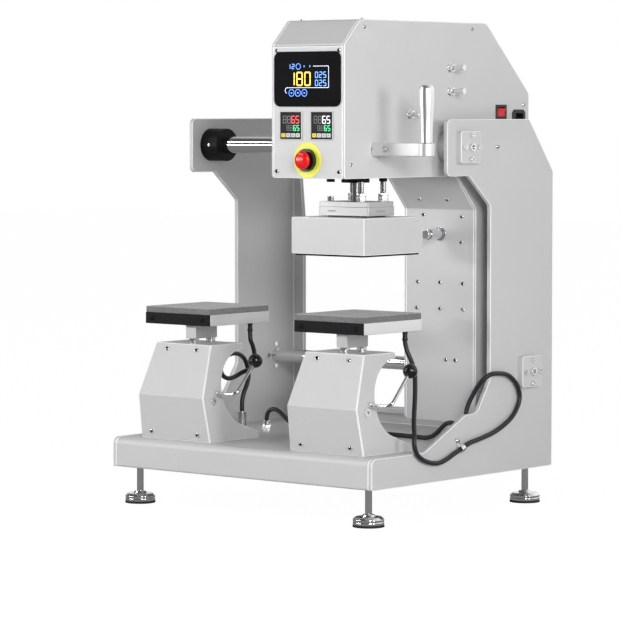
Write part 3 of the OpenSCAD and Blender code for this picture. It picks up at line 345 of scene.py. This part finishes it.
def controller_bezel(xs, cz, half):
    """Black, with a pale painted highlight line around each controller, whose middles are at xs and
    cz.
    """
    mat, nodes, links, bsdf = new_material("controller_bezel")
    bsdf.inputs["Specular IOR Level"].default_value = 0.08
    at = axes(nodes, links)
    off = math_node(nodes, links, "SUBTRACT", at["X"], (xs[0] + xs[1]) / 2)
    local = math_node(nodes, links, "SUBTRACT", math_node(nodes, links, "ABSOLUTE", off),
                      (xs[1] - xs[0]) / 2)
    dx = math_node(nodes, links, "ABSOLUTE", local)
    dz = math_node(nodes, links, "ABSOLUTE", math_node(nodes, links, "SUBTRACT", at["Z"], cz))
    out = math_node(nodes, links, "MAXIMUM", dx, dz)
    # the pale line along each controller's border is a painted highlight
    rim = math_node(nodes, links, "GREATER_THAN", out, half - PAINTED_HIGHLIGHT_WIDTH)
    links.new(blend_colour(nodes, links, rim, (0.016, 0.017, 0.018), (0.6, 0.6, 0.6)),
              bsdf.inputs["Base Color"])
    grain = noise(nodes, links, coords(nodes, links), 800.0)
    links.new(remap(nodes, links, grain, 0.3, 0.42), bsdf.inputs["Roughness"])
    bump(nodes, links, bsdf, grain, 0.1, 0.0002)
    return mat


# ---- Piece helpers ----
def centre_of(node):
    lo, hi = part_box(node)
    return (lo + hi) / 2


def finish_edges(obj, width, segments=2, rim=None):
    """Merges the CAD triangles into flat faces, then rounds the edges; the rounding's faces may
    take a lighter coat, a painted highlight.
    """
    for poly in obj.data.polygons:
        poly.use_smooth = True
    weld = obj.modifiers.new("weld", "WELD")
    weld.merge_threshold = 2e-6
    flat = obj.modifiers.new("flat", "DECIMATE")
    flat.decimate_type = "DISSOLVE"
    flat.angle_limit = math.radians(0.4)
    edge = obj.modifiers.new("edge", "BEVEL")
    edge.width = width
    edge.segments = segments
    edge.limit_method = "ANGLE"
    edge.angle_limit = math.radians(32)
    edge.use_clamp_overlap = False
    edge.loop_slide = False
    # the faces of the rounding take the lighter coat: a painted highlight along the edges
    if rim:
        obj.data.materials.append(rim)
        edge.material = 1
    flats = obj.modifiers.new("flats", "WEIGHTED_NORMAL")
    flats.mode = "FACE_AREA"
    flats.weight = 100


def dress(names, mat, width, **how):
    """Gives CAD nodes their finish and rounds their edges by width."""
    for name in names:
        obj = NODES[name]
        obj.data.materials.clear()
        obj.data.materials.append(mat)
        if width:
            finish_edges(obj, width, **how)


def new_piece(name, bm, body, mat, smooth=False):
    """Makes the bmesh a piece that rides on the body."""
    mesh = bpy.data.meshes.new(name)
    bm.to_mesh(mesh)
    bm.free()
    for poly in mesh.polygons:
        poly.use_smooth = smooth
    obj = bpy.data.objects.new(name, mesh)
    bpy.context.scene.collection.objects.link(obj)
    mesh.materials.append(mat)
    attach(obj, body)
    return obj


def bar(bm, a, b, y, width, thick=LIT_DEPTH):
    """A flat stroke from a to b, pairs of x and z, its back on the plane y."""
    run = Vector((b[0] - a[0], 0, b[1] - a[1]))
    turn = Matrix.Rotation(-math.atan2(run.z, run.x), 4, "Y")
    size = Matrix.Diagonal((run.length + width * 0.9, thick, width, 1))
    place = Matrix.Translation(((a[0] + b[0]) / 2, y - thick / 2, (a[1] + b[1]) / 2))
    bmesh.ops.create_cube(bm, size=1.0, matrix=place @ turn @ size)


def stroke(bm, points, y, width, thick=LIT_DEPTH):
    """Bars from point to point."""
    for a, b in zip(points, points[1:]):
        bar(bm, a, b, y, width, thick)


def arc(cx, cz, r, start, end, steps):
    """Points on an arc about cx, cz, from the start to the end in degrees."""
    return [(cx + r * math.cos(math.radians(start + (end - start) * i / steps)),
             cz + r * math.sin(math.radians(start + (end - start) * i / steps)))
            for i in range(steps + 1)]


SEGMENTS = {"0": "abcdef", "1": "bc", "2": "abged", "3": "abgcd", "4": "fgbc", "5": "afgcd",
            "6": "afgedc", "7": "abc", "8": "abcdefg", "9": "abfgcd"}


def digit(bm, char, x, z, w, h, y, width):
    """One seven-segment digit, its lower left corner at x, z."""
    lines = {"a": ((0, h), (w, h)), "b": ((w, h), (w, h / 2)), "c": ((w, h / 2), (w, 0)),
             "d": ((0, 0), (w, 0)), "e": ((0, 0), (0, h / 2)), "f": ((0, h / 2), (0, h)),
             "g": ((0, h / 2), (w, h / 2))}
    for key in SEGMENTS[char]:
        (ax, az), (bx, bz) = lines[key]
        dx, dz = bx - ax, bz - az
        run = math.hypot(dx, dz)
        trim = width * 0.62
        ax, az = ax + dx / run * trim, az + dz / run * trim
        bx, bz = bx - dx / run * trim, bz - dz / run * trim
        bar(bm, (x + ax, z + az), (x + bx, z + bz), y, width)


def number(bm, text, x, z, size, y, width):
    """Digits side by side; size is their width, height and pitch."""
    w, h, pitch = size
    for i, char in enumerate(text):
        digit(bm, char, x + i * pitch, z, w, h, y, width)


# ---- Cable routes, in millimetres ----
PLATEN_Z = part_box("platen_bodies")[0].z / MM
TRAY_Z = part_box("cable_plugs")[0].z / MM - 4
PLUG_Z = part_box("cable_plugs")[1].z / MM
LEFT_ROUTE = [
    (-115, -91, PLATEN_Z - 8), (-115, -91, PLATEN_Z - 18), (-113, -92, 289), (-106, -94, 278),
    (-99, -98, 266), (-97, -101, 254), (-103, -99, 243), (-114, -92, 237), (-126, -86, 234),
    (-136, -90, 229), (-139, -104, 223), (-137, -124, 221), (-134, -142, 227), (-131, -152, 239),
    (-130, -151, 251), (-130, -139, 261), (-132, -120, 265), (-134, -100, 263), (-136, -83, 254),
    (-137, -73, 239), (-137, -70, 223), (-137, -74, 208), (-137, -82, 194), (-137, -87, 180),
    (-137, -88, 168), (-137, -88, PLUG_Z)]
RIGHT_ROUTE = [
    (234, -91, PLATEN_Z - 8), (234, -91, PLATEN_Z - 18), (237, -89, 286), (246, -87, 266),
    (256, -92, 246), (264, -101, 224), (271, -111, 202), (279, -123, 182), (288, -135, 165),
    (297, -145, 150), (300.5, -150, 135), (300.5, -144, 120), (300.5, -130, 109),
    (300.5, -108, 101), (300.5, -84, 98), (300.5, -62, 102), (300.5, -40, 110),
    (300.5, -18, 117.5), (300.5, 4, 125), (300.5, 34, 130), (300.5, 70, 137),
    (300.5, 100, 147), (300.5, 126, 160), (300.5, 143, 177), (300.5, 150, 195),
    (300.5, 143, 214), (300.5, 128, 228), (300.5, 108, 237), (300.5, 80, 240),
    (298, 64, 238), (290, 55, 229), (281, 51, 216), (273, 48, 201), (268, 43, 186),
    (266, 40, 172), (266, 40, PLUG_Z)]
LEAD_ROUTE = [
    (-186, 37, TRAY_Z + 14), (-186, 37, TRAY_Z + 19), (-184, 37.2, TRAY_Z + 27),
    (-178, 37.6, TRAY_Z + 33), (-169, 38.3, TRAY_Z + 35), (-159, 39.2, TRAY_Z + 32),
    (-149, 40, TRAY_Z + 25), (-138, 41, TRAY_Z + 16), (-124, 43, TRAY_Z + 8),
    (-106, 46, TRAY_Z + 4.2), (-66, 52, TRAY_Z + 4.2), (-26, 57, TRAY_Z + 4.2),
    (20, 60, TRAY_Z + 4.2), (66, 60, TRAY_Z + 4.2), (110, 58, TRAY_Z + 4.2),
    (150, 54, TRAY_Z + 4.2), (168, 52, TRAY_Z + 4.2), (184, 50, TRAY_Z + 8),
    (197, 48.6, TRAY_Z + 16), (207, 47.8, TRAY_Z + 25), (217, 47, TRAY_Z + 32),
    (227, 46.4, TRAY_Z + 35), (236, 46.1, TRAY_Z + 33), (242, 46, TRAY_Z + 27),
    (244, 46, TRAY_Z + 19), (244, 46, TRAY_Z + 14)]


def smooth_route(points, steps=6):
    """A smooth line in metres through the route's points."""
    pts = [Vector(p) * MM for p in points]
    ends = [pts[0] * 2 - pts[1], *pts, pts[-1] * 2 - pts[-2]]
    line = []
    for a, b, c, d in zip(ends, ends[1:], ends[2:], ends[3:]):
        for i in range(steps):
            t = i / steps
            line.append(0.5 * (2 * b + (c - a) * t + (2 * a - 5 * b + 4 * c - d) * t * t
                               + (3 * b - 3 * c + d - a) * t ** 3))
    return [*line, pts[-1]]


def cable_piece(name, node, points, diameter, mat, on_it=()):
    """A cable as a curve along its route, in place of its CAD node."""
    line = smooth_route(points)
    curve = bpy.data.curves.new(name, "CURVE")
    curve.dimensions = "3D"
    curve.bevel_depth = diameter / 2
    curve.bevel_resolution = 5
    curve.use_fill_caps = True
    spline = curve.splines.new("POLY")
    spline.points.add(len(line) - 1)
    for point, co in zip(spline.points, line):
        point.co = (*co, 1)
    spline.use_smooth = True
    curve.materials.append(mat)
    obj = bpy.data.objects.new(name, curve)
    bpy.context.scene.collection.objects.link(obj)
    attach(obj, "base")
    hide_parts(node)


def relief_piece(side, start, mat):
    """The rubber strain relief, waisted three times, where a cable leaves its platen."""
    middle = Vector((start[0] * MM, start[1] * MM, 0))
    bm = bmesh.new()
    bmesh.ops.create_cone(
        bm, cap_ends=True, segments=40, radius1=RELIEF_TIP, radius2=RELIEF_TOP, depth=RELIEF_LONG,
        matrix=Matrix.Translation((start[0] * MM, start[1] * MM, (PLATEN_Z + RELIEF_MIDDLE) * MM)))
    for z in RELIEF_WAISTS:
        cut = bmesh.ops.bisect_plane(
            bm, geom=bm.verts[:] + bm.edges[:] + bm.faces[:], dist=1e-7,
            plane_co=(0, 0, (PLATEN_Z + z) * MM), plane_no=(0, 0, 1))
        ring = [e for e in cut["geom_cut"] if isinstance(e, bmesh.types.BMVert)]
        for vert in ring:
            flat = Vector((vert.co.x, vert.co.y, 0)) - middle
            vert.co -= flat * WAIST_IN
    return new_piece(f"strain_relief_{side}", bm, "base", mat, True)


# ---- Operators ----
class PRESS_OT_cables(bpy.types.Operator):
    """Lay the platen cables and the lead on the base"""
    bl_idname = "press.cables"
    bl_label = "Cables"

    def execute(self, context):
        look = context.scene.press_colours
        size = context.scene.press_sizes
        sheath = moulded("cable_sheath", shade(look.black, 1.6), 0.42, 1400.0, 0.12)
        relief = moulded("strain_relief_rubber", shade(look.black, 1.2), 0.5)
        for side, route in (("left", LEFT_ROUTE), ("right", RIGHT_ROUTE)):
            cable_piece(f"platen_cable_{side}", f"cable_{side}", route, size.cable, sheath,
                        [relief_piece(side, route[0], relief)])
        cable_piece("lead_on_base", "base_lead", LEAD_ROUTE, size.cable, sheath)
        return {"FINISHED"}


class PRESS_OT_paint(bpy.types.Operator):
    """Coat the sheet metal of the frame and the carriage"""
    bl_idname = "press.paint"
    bl_label = "Painted sheet"

    def execute(self, context):
        look = context.scene.press_colours
        edge = context.scene.press_sizes.edge
        coat = powder_coat("frame_powder_coat", look.frame_paint)
        cover = powder_coat("cover_powder_coat", look.cover_paint, 0.4)
        # a lighter copy of the cover paint for the rounded edges: a painted highlight
        rim = powder_coat("painted_edge_highlight_coat", shade(look.cover_paint, 1.6), 0.3)
        dress(["base_tray", "side_plate_left", "side_plate_right", "pedestal_bodies",
               "pedestal_covers"], coat, edge, rim=rim)
        dress(["side_cover_left", "side_cover_right", "front_panel", "head_wrap", "column_cover",
               "heater_cover"], cover, edge, rim=rim)
        dress(["shaft_flanges"], cover, FLANGE, rim=rim)
        return {"FINISHED"}


class PRESS_OT_metal(bpy.types.Operator):
    """Finish the bare metal pieces"""
    bl_idname = "press.metal"
    bl_label = "Bare metal"

    def execute(self, context):
        look = context.scene.press_colours
        ground = turned_metal("ground_shaft_steel", (0.8, 0.8, 0.81), 0.07, (0.1, 1.0, 1.0), 0.0)
        dress(["upper_shaft", "lower_bar"], ground, SHAFT)
        rods = turned_metal("ground_rod_steel", (0.5, 0.5, 0.51), 0.12, (0.2, 0.2, 1.0), 0.02)
        dress(["press_rods"], rods, SMALL)
        self.rod_tops(rods)
        drawn = turned_metal("plated_lever_rod", (0.85, 0.85, 0.86), 0.12, depth=0.0)
        dress(["lever_left", "lever_right"], drawn, SMALL)
        milled = turned_metal("milled_aluminium", (0.62, 0.62, 0.625), 0.52, (1.0, 0.08, 1.0), 0.05)
        dress(["collar_right", "platen_posts", "clamp_block", "linear_bearings",
               "head_base"], milled, BLOCK)
        satin = turned_metal("satin_platen_aluminium", (0.96, 0.96, 0.965), 0.36,
                             (0.08, 1.0, 1.0), 0.05)
        dress(["platen_bodies"], satin, BLOCK)
        polish = turned_metal("polished_aluminium", (0.94, 0.94, 0.945), 0.32, (0.2, 0.2, 1.0), 0.0)
        dress(["handle_grip"], polish, GRIP, segments=3)
        brushed = turned_metal("brushed_arm", (0.86, 0.86, 0.865), 0.5, (0.1, 0.1, 1.0), 0.02)
        dress(["handle_arm"], brushed, GRIP, segments=3)
        zinc = turned_metal("bright_zinc", (0.84, 0.84, 0.85), 0.1, depth=0.0)
        dress(["foot_nuts", "frame_screws", "pedestal_fasteners", "adjust_studs", "cover_screws",
               "block_fasteners"], zinc, FINE)
        chrome = turned_metal("bright_chrome", (0.86, 0.86, 0.87), 0.1, depth=0.01)
        dress(["levelling_feet", "cable_sockets", "cable_plugs", "column_connector"],
              chrome, TURNED)
        oxide = moulded("black_oxide_steel", shade(look.black, 1.2), 0.42, 500.0, 0.12, 0.1)
        dress(["collar_left", "platen_end_plates", "heating_plate", "press_actuator"],
              oxide, TURNED)
        return {"FINISHED"}

    def rod_tops(self, mat):
        """Lengthens the ram and the guide rods, so that they stay in the head for the stroke."""
        lo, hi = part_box("press_rods")
        x, y = (lo.x + hi.x) / 2, (lo.y + hi.y) / 2
        verts = NODES["press_rods"].data.vertices
        bm = bmesh.new()
        for dx, dy, r in ROD_PLACES:
            top = max(v.co.z for v in verts
                      if math.hypot(v.co.x - x - dx, v.co.y - y - dy) < r + 0.0005)
            place = Matrix.Translation((x + dx, y + dy, top - 0.001 + STROKE / 2))
            bmesh.ops.create_cone(bm, cap_ends=True, segments=48, radius1=r - 0.00001,
                                  radius2=r - 0.00001, depth=STROKE, matrix=place)
        for edge in bm.edges:
            edge.smooth = abs(edge.verts[0].co.z - edge.verts[1].co.z) > 0.001
        new_piece("press_rod_tops", bm, "press_head", mat, True)


class PRESS_OT_plastic(bpy.types.Operator):
    """Finish the moulded plastic and rubber pieces"""
    bl_idname = "press.plastic"
    bl_label = "Plastic and rubber"

    def execute(self, context):
        look = context.scene.press_colours
        bakelite = moulded("polished_bakelite", look.black, 0.16, 300.0, 0.03)
        dress(["knob_left", "knob_right"], bakelite, SMALL)
        nylon = moulded("black_nylon", look.black, 0.4)
        dress(["rear_inlet"], nylon, SMALL)
        rubber = moulded("foot_rubber", shade(look.black, 1.8), 0.75, 500.0, 0.4)
        dress(["foot_pads"], rubber, BLOCK)
        red = moulded("stop_red", look.stop, 0.22, 500.0, 0.04)
        dress(["estop_button"], red, BLOCK)
        dress(["rocker_switch"], red, SMALL)
        dress(["estop_collar"], stop_moulding(centre_of("estop_button"), look.black), SMALL)
        return {"FINISHED"}


class PRESS_OT_pads(bpy.types.Operator):
    """Lay the silicone foam pads on the platens"""
    bl_idname = "press.pads"
    bl_label = "Foam pads"

    def execute(self, context):
        look = context.scene.press_colours
        edge = context.scene.press_sizes.pad_edge
        lo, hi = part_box("platen_pads")
        bm = bmesh.new()
        for x in (lo.x + PAD_WIDTH / 2, hi.x - PAD_WIDTH / 2):
            place = Matrix.Translation((x, (lo.y + hi.y) / 2, (lo.z + hi.z) / 2))
            size = Matrix.Diagonal((PAD_WIDTH, hi.y - lo.y, hi.z - lo.z, 1))
            bmesh.ops.create_cube(bm, size=1.0, matrix=place @ size)
        upright = [e for e in bm.edges if abs(e.verts[0].co.z - e.verts[1].co.z) > 0.001]
        bmesh.ops.bevel(bm, geom=upright, offset=PAD_CORNER, affect="EDGES", segments=4,
                        profile=0.5, material=-1)
        rims = [e for e in bm.edges if abs(e.verts[0].co.z - e.verts[1].co.z) < 1e-6]
        bmesh.ops.bevel(bm, geom=rims, offset=edge, affect="EDGES", segments=3, profile=0.5,
                        material=-1)
        pad = new_piece("platen_foam_pads", bm, "base", foam(look.foam), True)
        normals = pad.modifiers.new("normals", "WEIGHTED_NORMAL")
        normals.weight = 80
        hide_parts("platen_pads")
        return {"FINISHED"}


class PRESS_OT_display(bpy.types.Operator):
    """Light the display with plain generic numbers"""
    bl_idname = "press.display"
    bl_label = "Display"

    def execute(self, context):
        look = context.scene.press_colours
        size = context.scene.press_sizes
        dress(["display"], display_glass(), SMALL)
        lo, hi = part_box("display")
        y = lo.y
        cx, cz = (lo.x + hi.x) / 2, (lo.z + hi.z) / 2
        # Marks lie on the glass at y, and are placed from its middle.
        amber = glow("amber_segments", look.digits, 1.3)
        blue = glow("blue_segments", (0.18, 0.42, 1.0), 1.2)
        pale = glow("pale_lines", (0.75, 0.8, 0.95), 0.9)
        bm = bmesh.new()
        number(bm, "180", cx - 0.0386, cz - 0.0103, TEMPERATURE, y, size.stroke)
        new_piece("display_temperature", bm, "carriage", amber)
        bm = bmesh.new()
        for z in (0.0024, -0.0110):
            number(bm, "025", cx + 0.0184, cz + z, COUNT, y, 0.0012)
        number(bm, "12", cx - 0.0415, cz + 0.0172, STATION, y, 0.0011)
        stroke(bm, arc(cx - 0.0185, cz + 0.021, 0.0048, 0, 360, 16), y, 0.0008)
        for x in (-0.0058, 0.0066):
            bar(bm, (cx + x, cz + 0.0203), (cx + x, cz + 0.0222), y, 0.0014)
        for x in (-0.0332, -0.0195, -0.0053):
            stroke(bm, arc(cx + x, cz - 0.0228, 0.0057, 0, 360, 20), y, 0.0009)
            stroke(bm, [(cx + x - 0.0009, cz - 0.0228), (cx + x + 0.0009, cz - 0.0228)], y, 0.0018)
        new_piece("display_small_marks", bm, "carriage", blue)
        bm = bmesh.new()
        line = [(cx + 0.0142, cz + 0.0214), (cx + 0.0451, cz + 0.0214)]
        line += arc(cx + 0.0451, cz + 0.0196, 0.0018, 90, 0, 4)
        line += arc(cx + 0.0451, cz - 0.0124, 0.0018, 0, -90, 4)
        line += arc(cx - 0.0424, cz - 0.0188, 0.0046, 90, 250, 9)
        stroke(bm, line, y, 0.0009)
        new_piece("display_frame_line", bm, "carriage", pale)
        return {"FINISHED"}


class PRESS_OT_controllers(bpy.types.Operator):
    """Finish the two temperature controllers and their keys"""
    bl_idname = "press.controllers"
    bl_label = "Controllers"

    def execute(self, context):
        lo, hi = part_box("controllers")
        half = (hi.z - lo.z) / 2
        xs = (lo.x + half, hi.x - half)
        cz = (lo.z + hi.z) / 2
        dress(["controllers"], controller_bezel(xs, cz, half), SMALL)
        self.readings(xs, cz, lo.y + GLASS_IN)
        self.keys()
        return {"FINISHED"}

    def readings(self, xs, cz, y):
        """Lights each controller's value and setting, and shows the places left unlit in grey with
        a faint painted glow.
        """
        # the unlit segments are grey and also glow faintly, which is painted light
        unlit_faint_glow = glow("unlit_segments_faint_glow", (0.2, 0.2, 0.2), 0.1)
        green = glow("green_segments", (0.05, 0.85, 0.3), 1.1)
        faces = ((xs[0], glow("red_segments", (1.0, 0.05, 0.06), 1.2)),
                 (xs[1], glow("white_segments", (0.9, 0.92, 0.95), 1.1)))
        for i, (x, lit) in enumerate(faces):
            bm = bmesh.new()
            number(bm, "65", x + 0.0018, cz + 0.004, VALUE, y, 0.0014)
            new_piece(f"controller_value_{i + 1}", bm, "carriage", lit)
            bm = bmesh.new()
            number(bm, "65", x + 0.0058, cz - 0.0083, SETTING, y, 0.0011)
            new_piece(f"controller_setting_{i + 1}", bm, "carriage", green)
            bm = bmesh.new()
            number(bm, "88", x - 0.0166, cz + 0.004, VALUE, y, 0.001)
            number(bm, "88", x - 0.0086, cz - 0.0083, SETTING, y, 0.0008)
            new_piece(f"controller_unlit_{i + 1}", bm, "carriage", unlit_faint_glow)

    def keys(self):
        """Colours the keys and puts a mark on each."""
        yellow = moulded("yellow_key", (0.85, 0.62, 0.03), 0.45)
        grey = moulded("grey_key", (0.62, 0.63, 0.64), 0.45)
        ink = moulded("key_mark", (0.05, 0.05, 0.055), 0.5)
        dress(["key_a1", "key_b1"], yellow, FINE)
        dress(["key_a2", "key_a3", "key_a4", "key_b2", "key_b3", "key_b4"], grey, FINE)
        for i, mark in enumerate(KEY_MARKS):
            for name in (f"key_a{i + 1}", f"key_b{i + 1}"):
                middle, face = centre_of(name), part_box(name)[0].y
                bm = bmesh.new()
                stroke(bm, [(middle.x + a * MARK, middle.z + b * MARK) for a, b in mark],
                       face, 0.0006, 0.0001)
                new_piece(f"{name}_mark", bm, name, ink)


class PRESS_OT_stage(bpy.types.Operator):
    """Set the floor, the lights and the camera"""
    bl_idname = "press.stage"
    bl_label = "Stage"

    def execute(self, context):
        scene = context.scene
        scene.view_settings.view_transform = "Standard"
        self.floor()
        self.world(scene)
        for name, place, width, height, power in LIGHTS:
            light = bpy.data.lights.new(name, "AREA")
            light.shape = "RECTANGLE"
            light.size = width
            light.size_y = height
            light.energy = power
            obj = bpy.data.objects.new(name, light)
            obj.location = place
            obj.rotation_euler = (LIT_POINT - Vector(place)).to_track_quat("-Z", "Y").to_euler()
            scene.collection.objects.link(obj)
        cam = bpy.data.cameras.new("camera")
        cam.sensor_width = CAMERA_SENSOR
        cam.lens = CAMERA_LENS
        cam.clip_end = 50
        obj = bpy.data.objects.new("camera", cam)
        obj.location = CAMERA_PLACE
        obj.rotation_euler = (math.radians(CAMERA_TILT), 0, math.radians(CAMERA_TURN))
        scene.collection.objects.link(obj)
        scene.camera = obj
        return {"FINISHED"}

    def floor(self):
        """Lays a pale floor that shows white and keeps the shadow."""
        mat, nodes, links, bsdf = new_material("pale_floor")
        grain = noise(nodes, links, coords(nodes, links), 3.0, 4.0)
        links.new(blend_colour(nodes, links, grain, (0.76, 0.76, 0.76), (0.8, 0.8, 0.8)),
                  bsdf.inputs["Base Color"])
        bsdf.inputs["Roughness"].default_value = 0.7
        path = nodes.new("ShaderNodeLightPath")
        seen = math_node(nodes, links, "MAXIMUM", path.outputs["Is Camera Ray"],
                         path.outputs["Is Glossy Ray"])
        white = nodes.new("ShaderNodeEmission")
        behind = nodes.new("ShaderNodeVectorMath")
        behind.operation = "DOT_PRODUCT"
        behind.inputs[1].default_value = (*AHEAD, 0)
        links.new(nodes.new("ShaderNodeTexCoord").outputs["Object"], behind.inputs[0])
        mirrored = remap(nodes, links, behind.outputs["Value"], *FLOOR_IN_METAL, 0.6, 3.5)
        plain = math_node(nodes, links, "MULTIPLY", path.outputs["Is Camera Ray"], FLOOR_WHITE)
        links.new(math_node(nodes, links, "MAXIMUM", plain, mirrored), white.inputs["Strength"])
        mix = nodes.new("ShaderNodeMixShader")
        links.new(remap(nodes, links, seen, 0.0, 0.95, 0.0, 1.0), mix.inputs["Fac"])
        links.new(bsdf.outputs["BSDF"], mix.inputs[1])
        links.new(white.outputs["Emission"], mix.inputs[2])
        links.new(mix.outputs["Shader"], nodes["Material Output"].inputs["Surface"])
        bm = bmesh.new()
        bmesh.ops.create_grid(bm, x_segments=2, y_segments=2, size=12.0)
        mesh = bpy.data.meshes.new("floor")
        bm.to_mesh(mesh)
        bm.free()
        mesh.materials.append(mat)
        obj = bpy.data.objects.new("floor", mesh)
        bpy.context.scene.collection.objects.link(obj)

    def world(self, scene):
        """Makes the room: white as seen, dark to bright as metal mirrors it, and soft light."""
        world = bpy.data.worlds.new("studio")
        scene.world = world
        world.use_nodes = True
        nodes, links = world.node_tree.nodes, world.node_tree.links
        back = nodes["Background"]
        path = nodes.new("ShaderNodeLightPath")
        tex = nodes.new("ShaderNodeTexCoord")
        ahead = nodes.new("ShaderNodeVectorMath")
        ahead.operation = "DOT_PRODUCT"
        ahead.inputs[1].default_value = (*AHEAD, -0.05)
        links.new(tex.outputs["Generated"], ahead.inputs[0])
        room = remap(nodes, links, ahead.outputs["Value"], *ROOM_IN_METAL, -0.3, 0.75)
        glossy = math_node(nodes, links, "MULTIPLY", path.outputs["Is Glossy Ray"], room)
        seen = math_node(nodes, links, "MAXIMUM", path.outputs["Is Camera Ray"], glossy)
        plain = math_node(nodes, links, "MAXIMUM", path.outputs["Is Camera Ray"],
                          path.outputs["Is Glossy Ray"])
        other = math_node(nodes, links, "SUBTRACT", 1.0, plain)
        soft = math_node(nodes, links, "MULTIPLY", other, SOFT_LIGHT)
        links.new(math_node(nodes, links, "ADD", seen, soft), back.inputs["Strength"])
        back.inputs["Color"].default_value = (1, 1, 1, 1)


class PRESS_PT_panel(bpy.types.Panel):
    """Lists the operators of the heat press"""
    bl_idname = "PRESS_PT_panel"
    bl_label = "Heat press"
    bl_space_type = "VIEW_3D"
    bl_region_type = "UI"
    bl_category = "Heat press"

    def draw(self, context):
        column = self.layout.column()
        for group in (context.scene.press_sizes, context.scene.press_colours):
            for name in group.bl_rna.properties.keys():
                if name not in ("rna_type", "name"):
                    column.prop(group, name)
        for cls in OPERATORS:
            column.operator(cls.bl_idname)


OPERATORS = (PRESS_OT_stage, PRESS_OT_cables, PRESS_OT_paint, PRESS_OT_metal, PRESS_OT_plastic,
             PRESS_OT_pads, PRESS_OT_display, PRESS_OT_controllers)
CLASSES = (PressSizes, PressColours, *OPERATORS, PRESS_PT_panel)


def register():
    for cls in CLASSES:
        bpy.utils.register_class(cls)
    bpy.types.Scene.press_sizes = bpy.props.PointerProperty(type=PressSizes)
    bpy.types.Scene.press_colours = bpy.props.PointerProperty(type=PressColours)


def unregister():
    del bpy.types.Scene.press_sizes
    del bpy.types.Scene.press_colours
    for cls in reversed(CLASSES):
        bpy.utils.unregister_class(cls)


def main():
    register()
    bpy.ops.press.stage()
    bpy.ops.press.cables()
    bpy.ops.press.paint()
    bpy.ops.press.metal()
    bpy.ops.press.plastic()
    bpy.ops.press.pads()
    bpy.ops.press.display()
    bpy.ops.press.controllers()


if __name__ == "__main__":
    main()
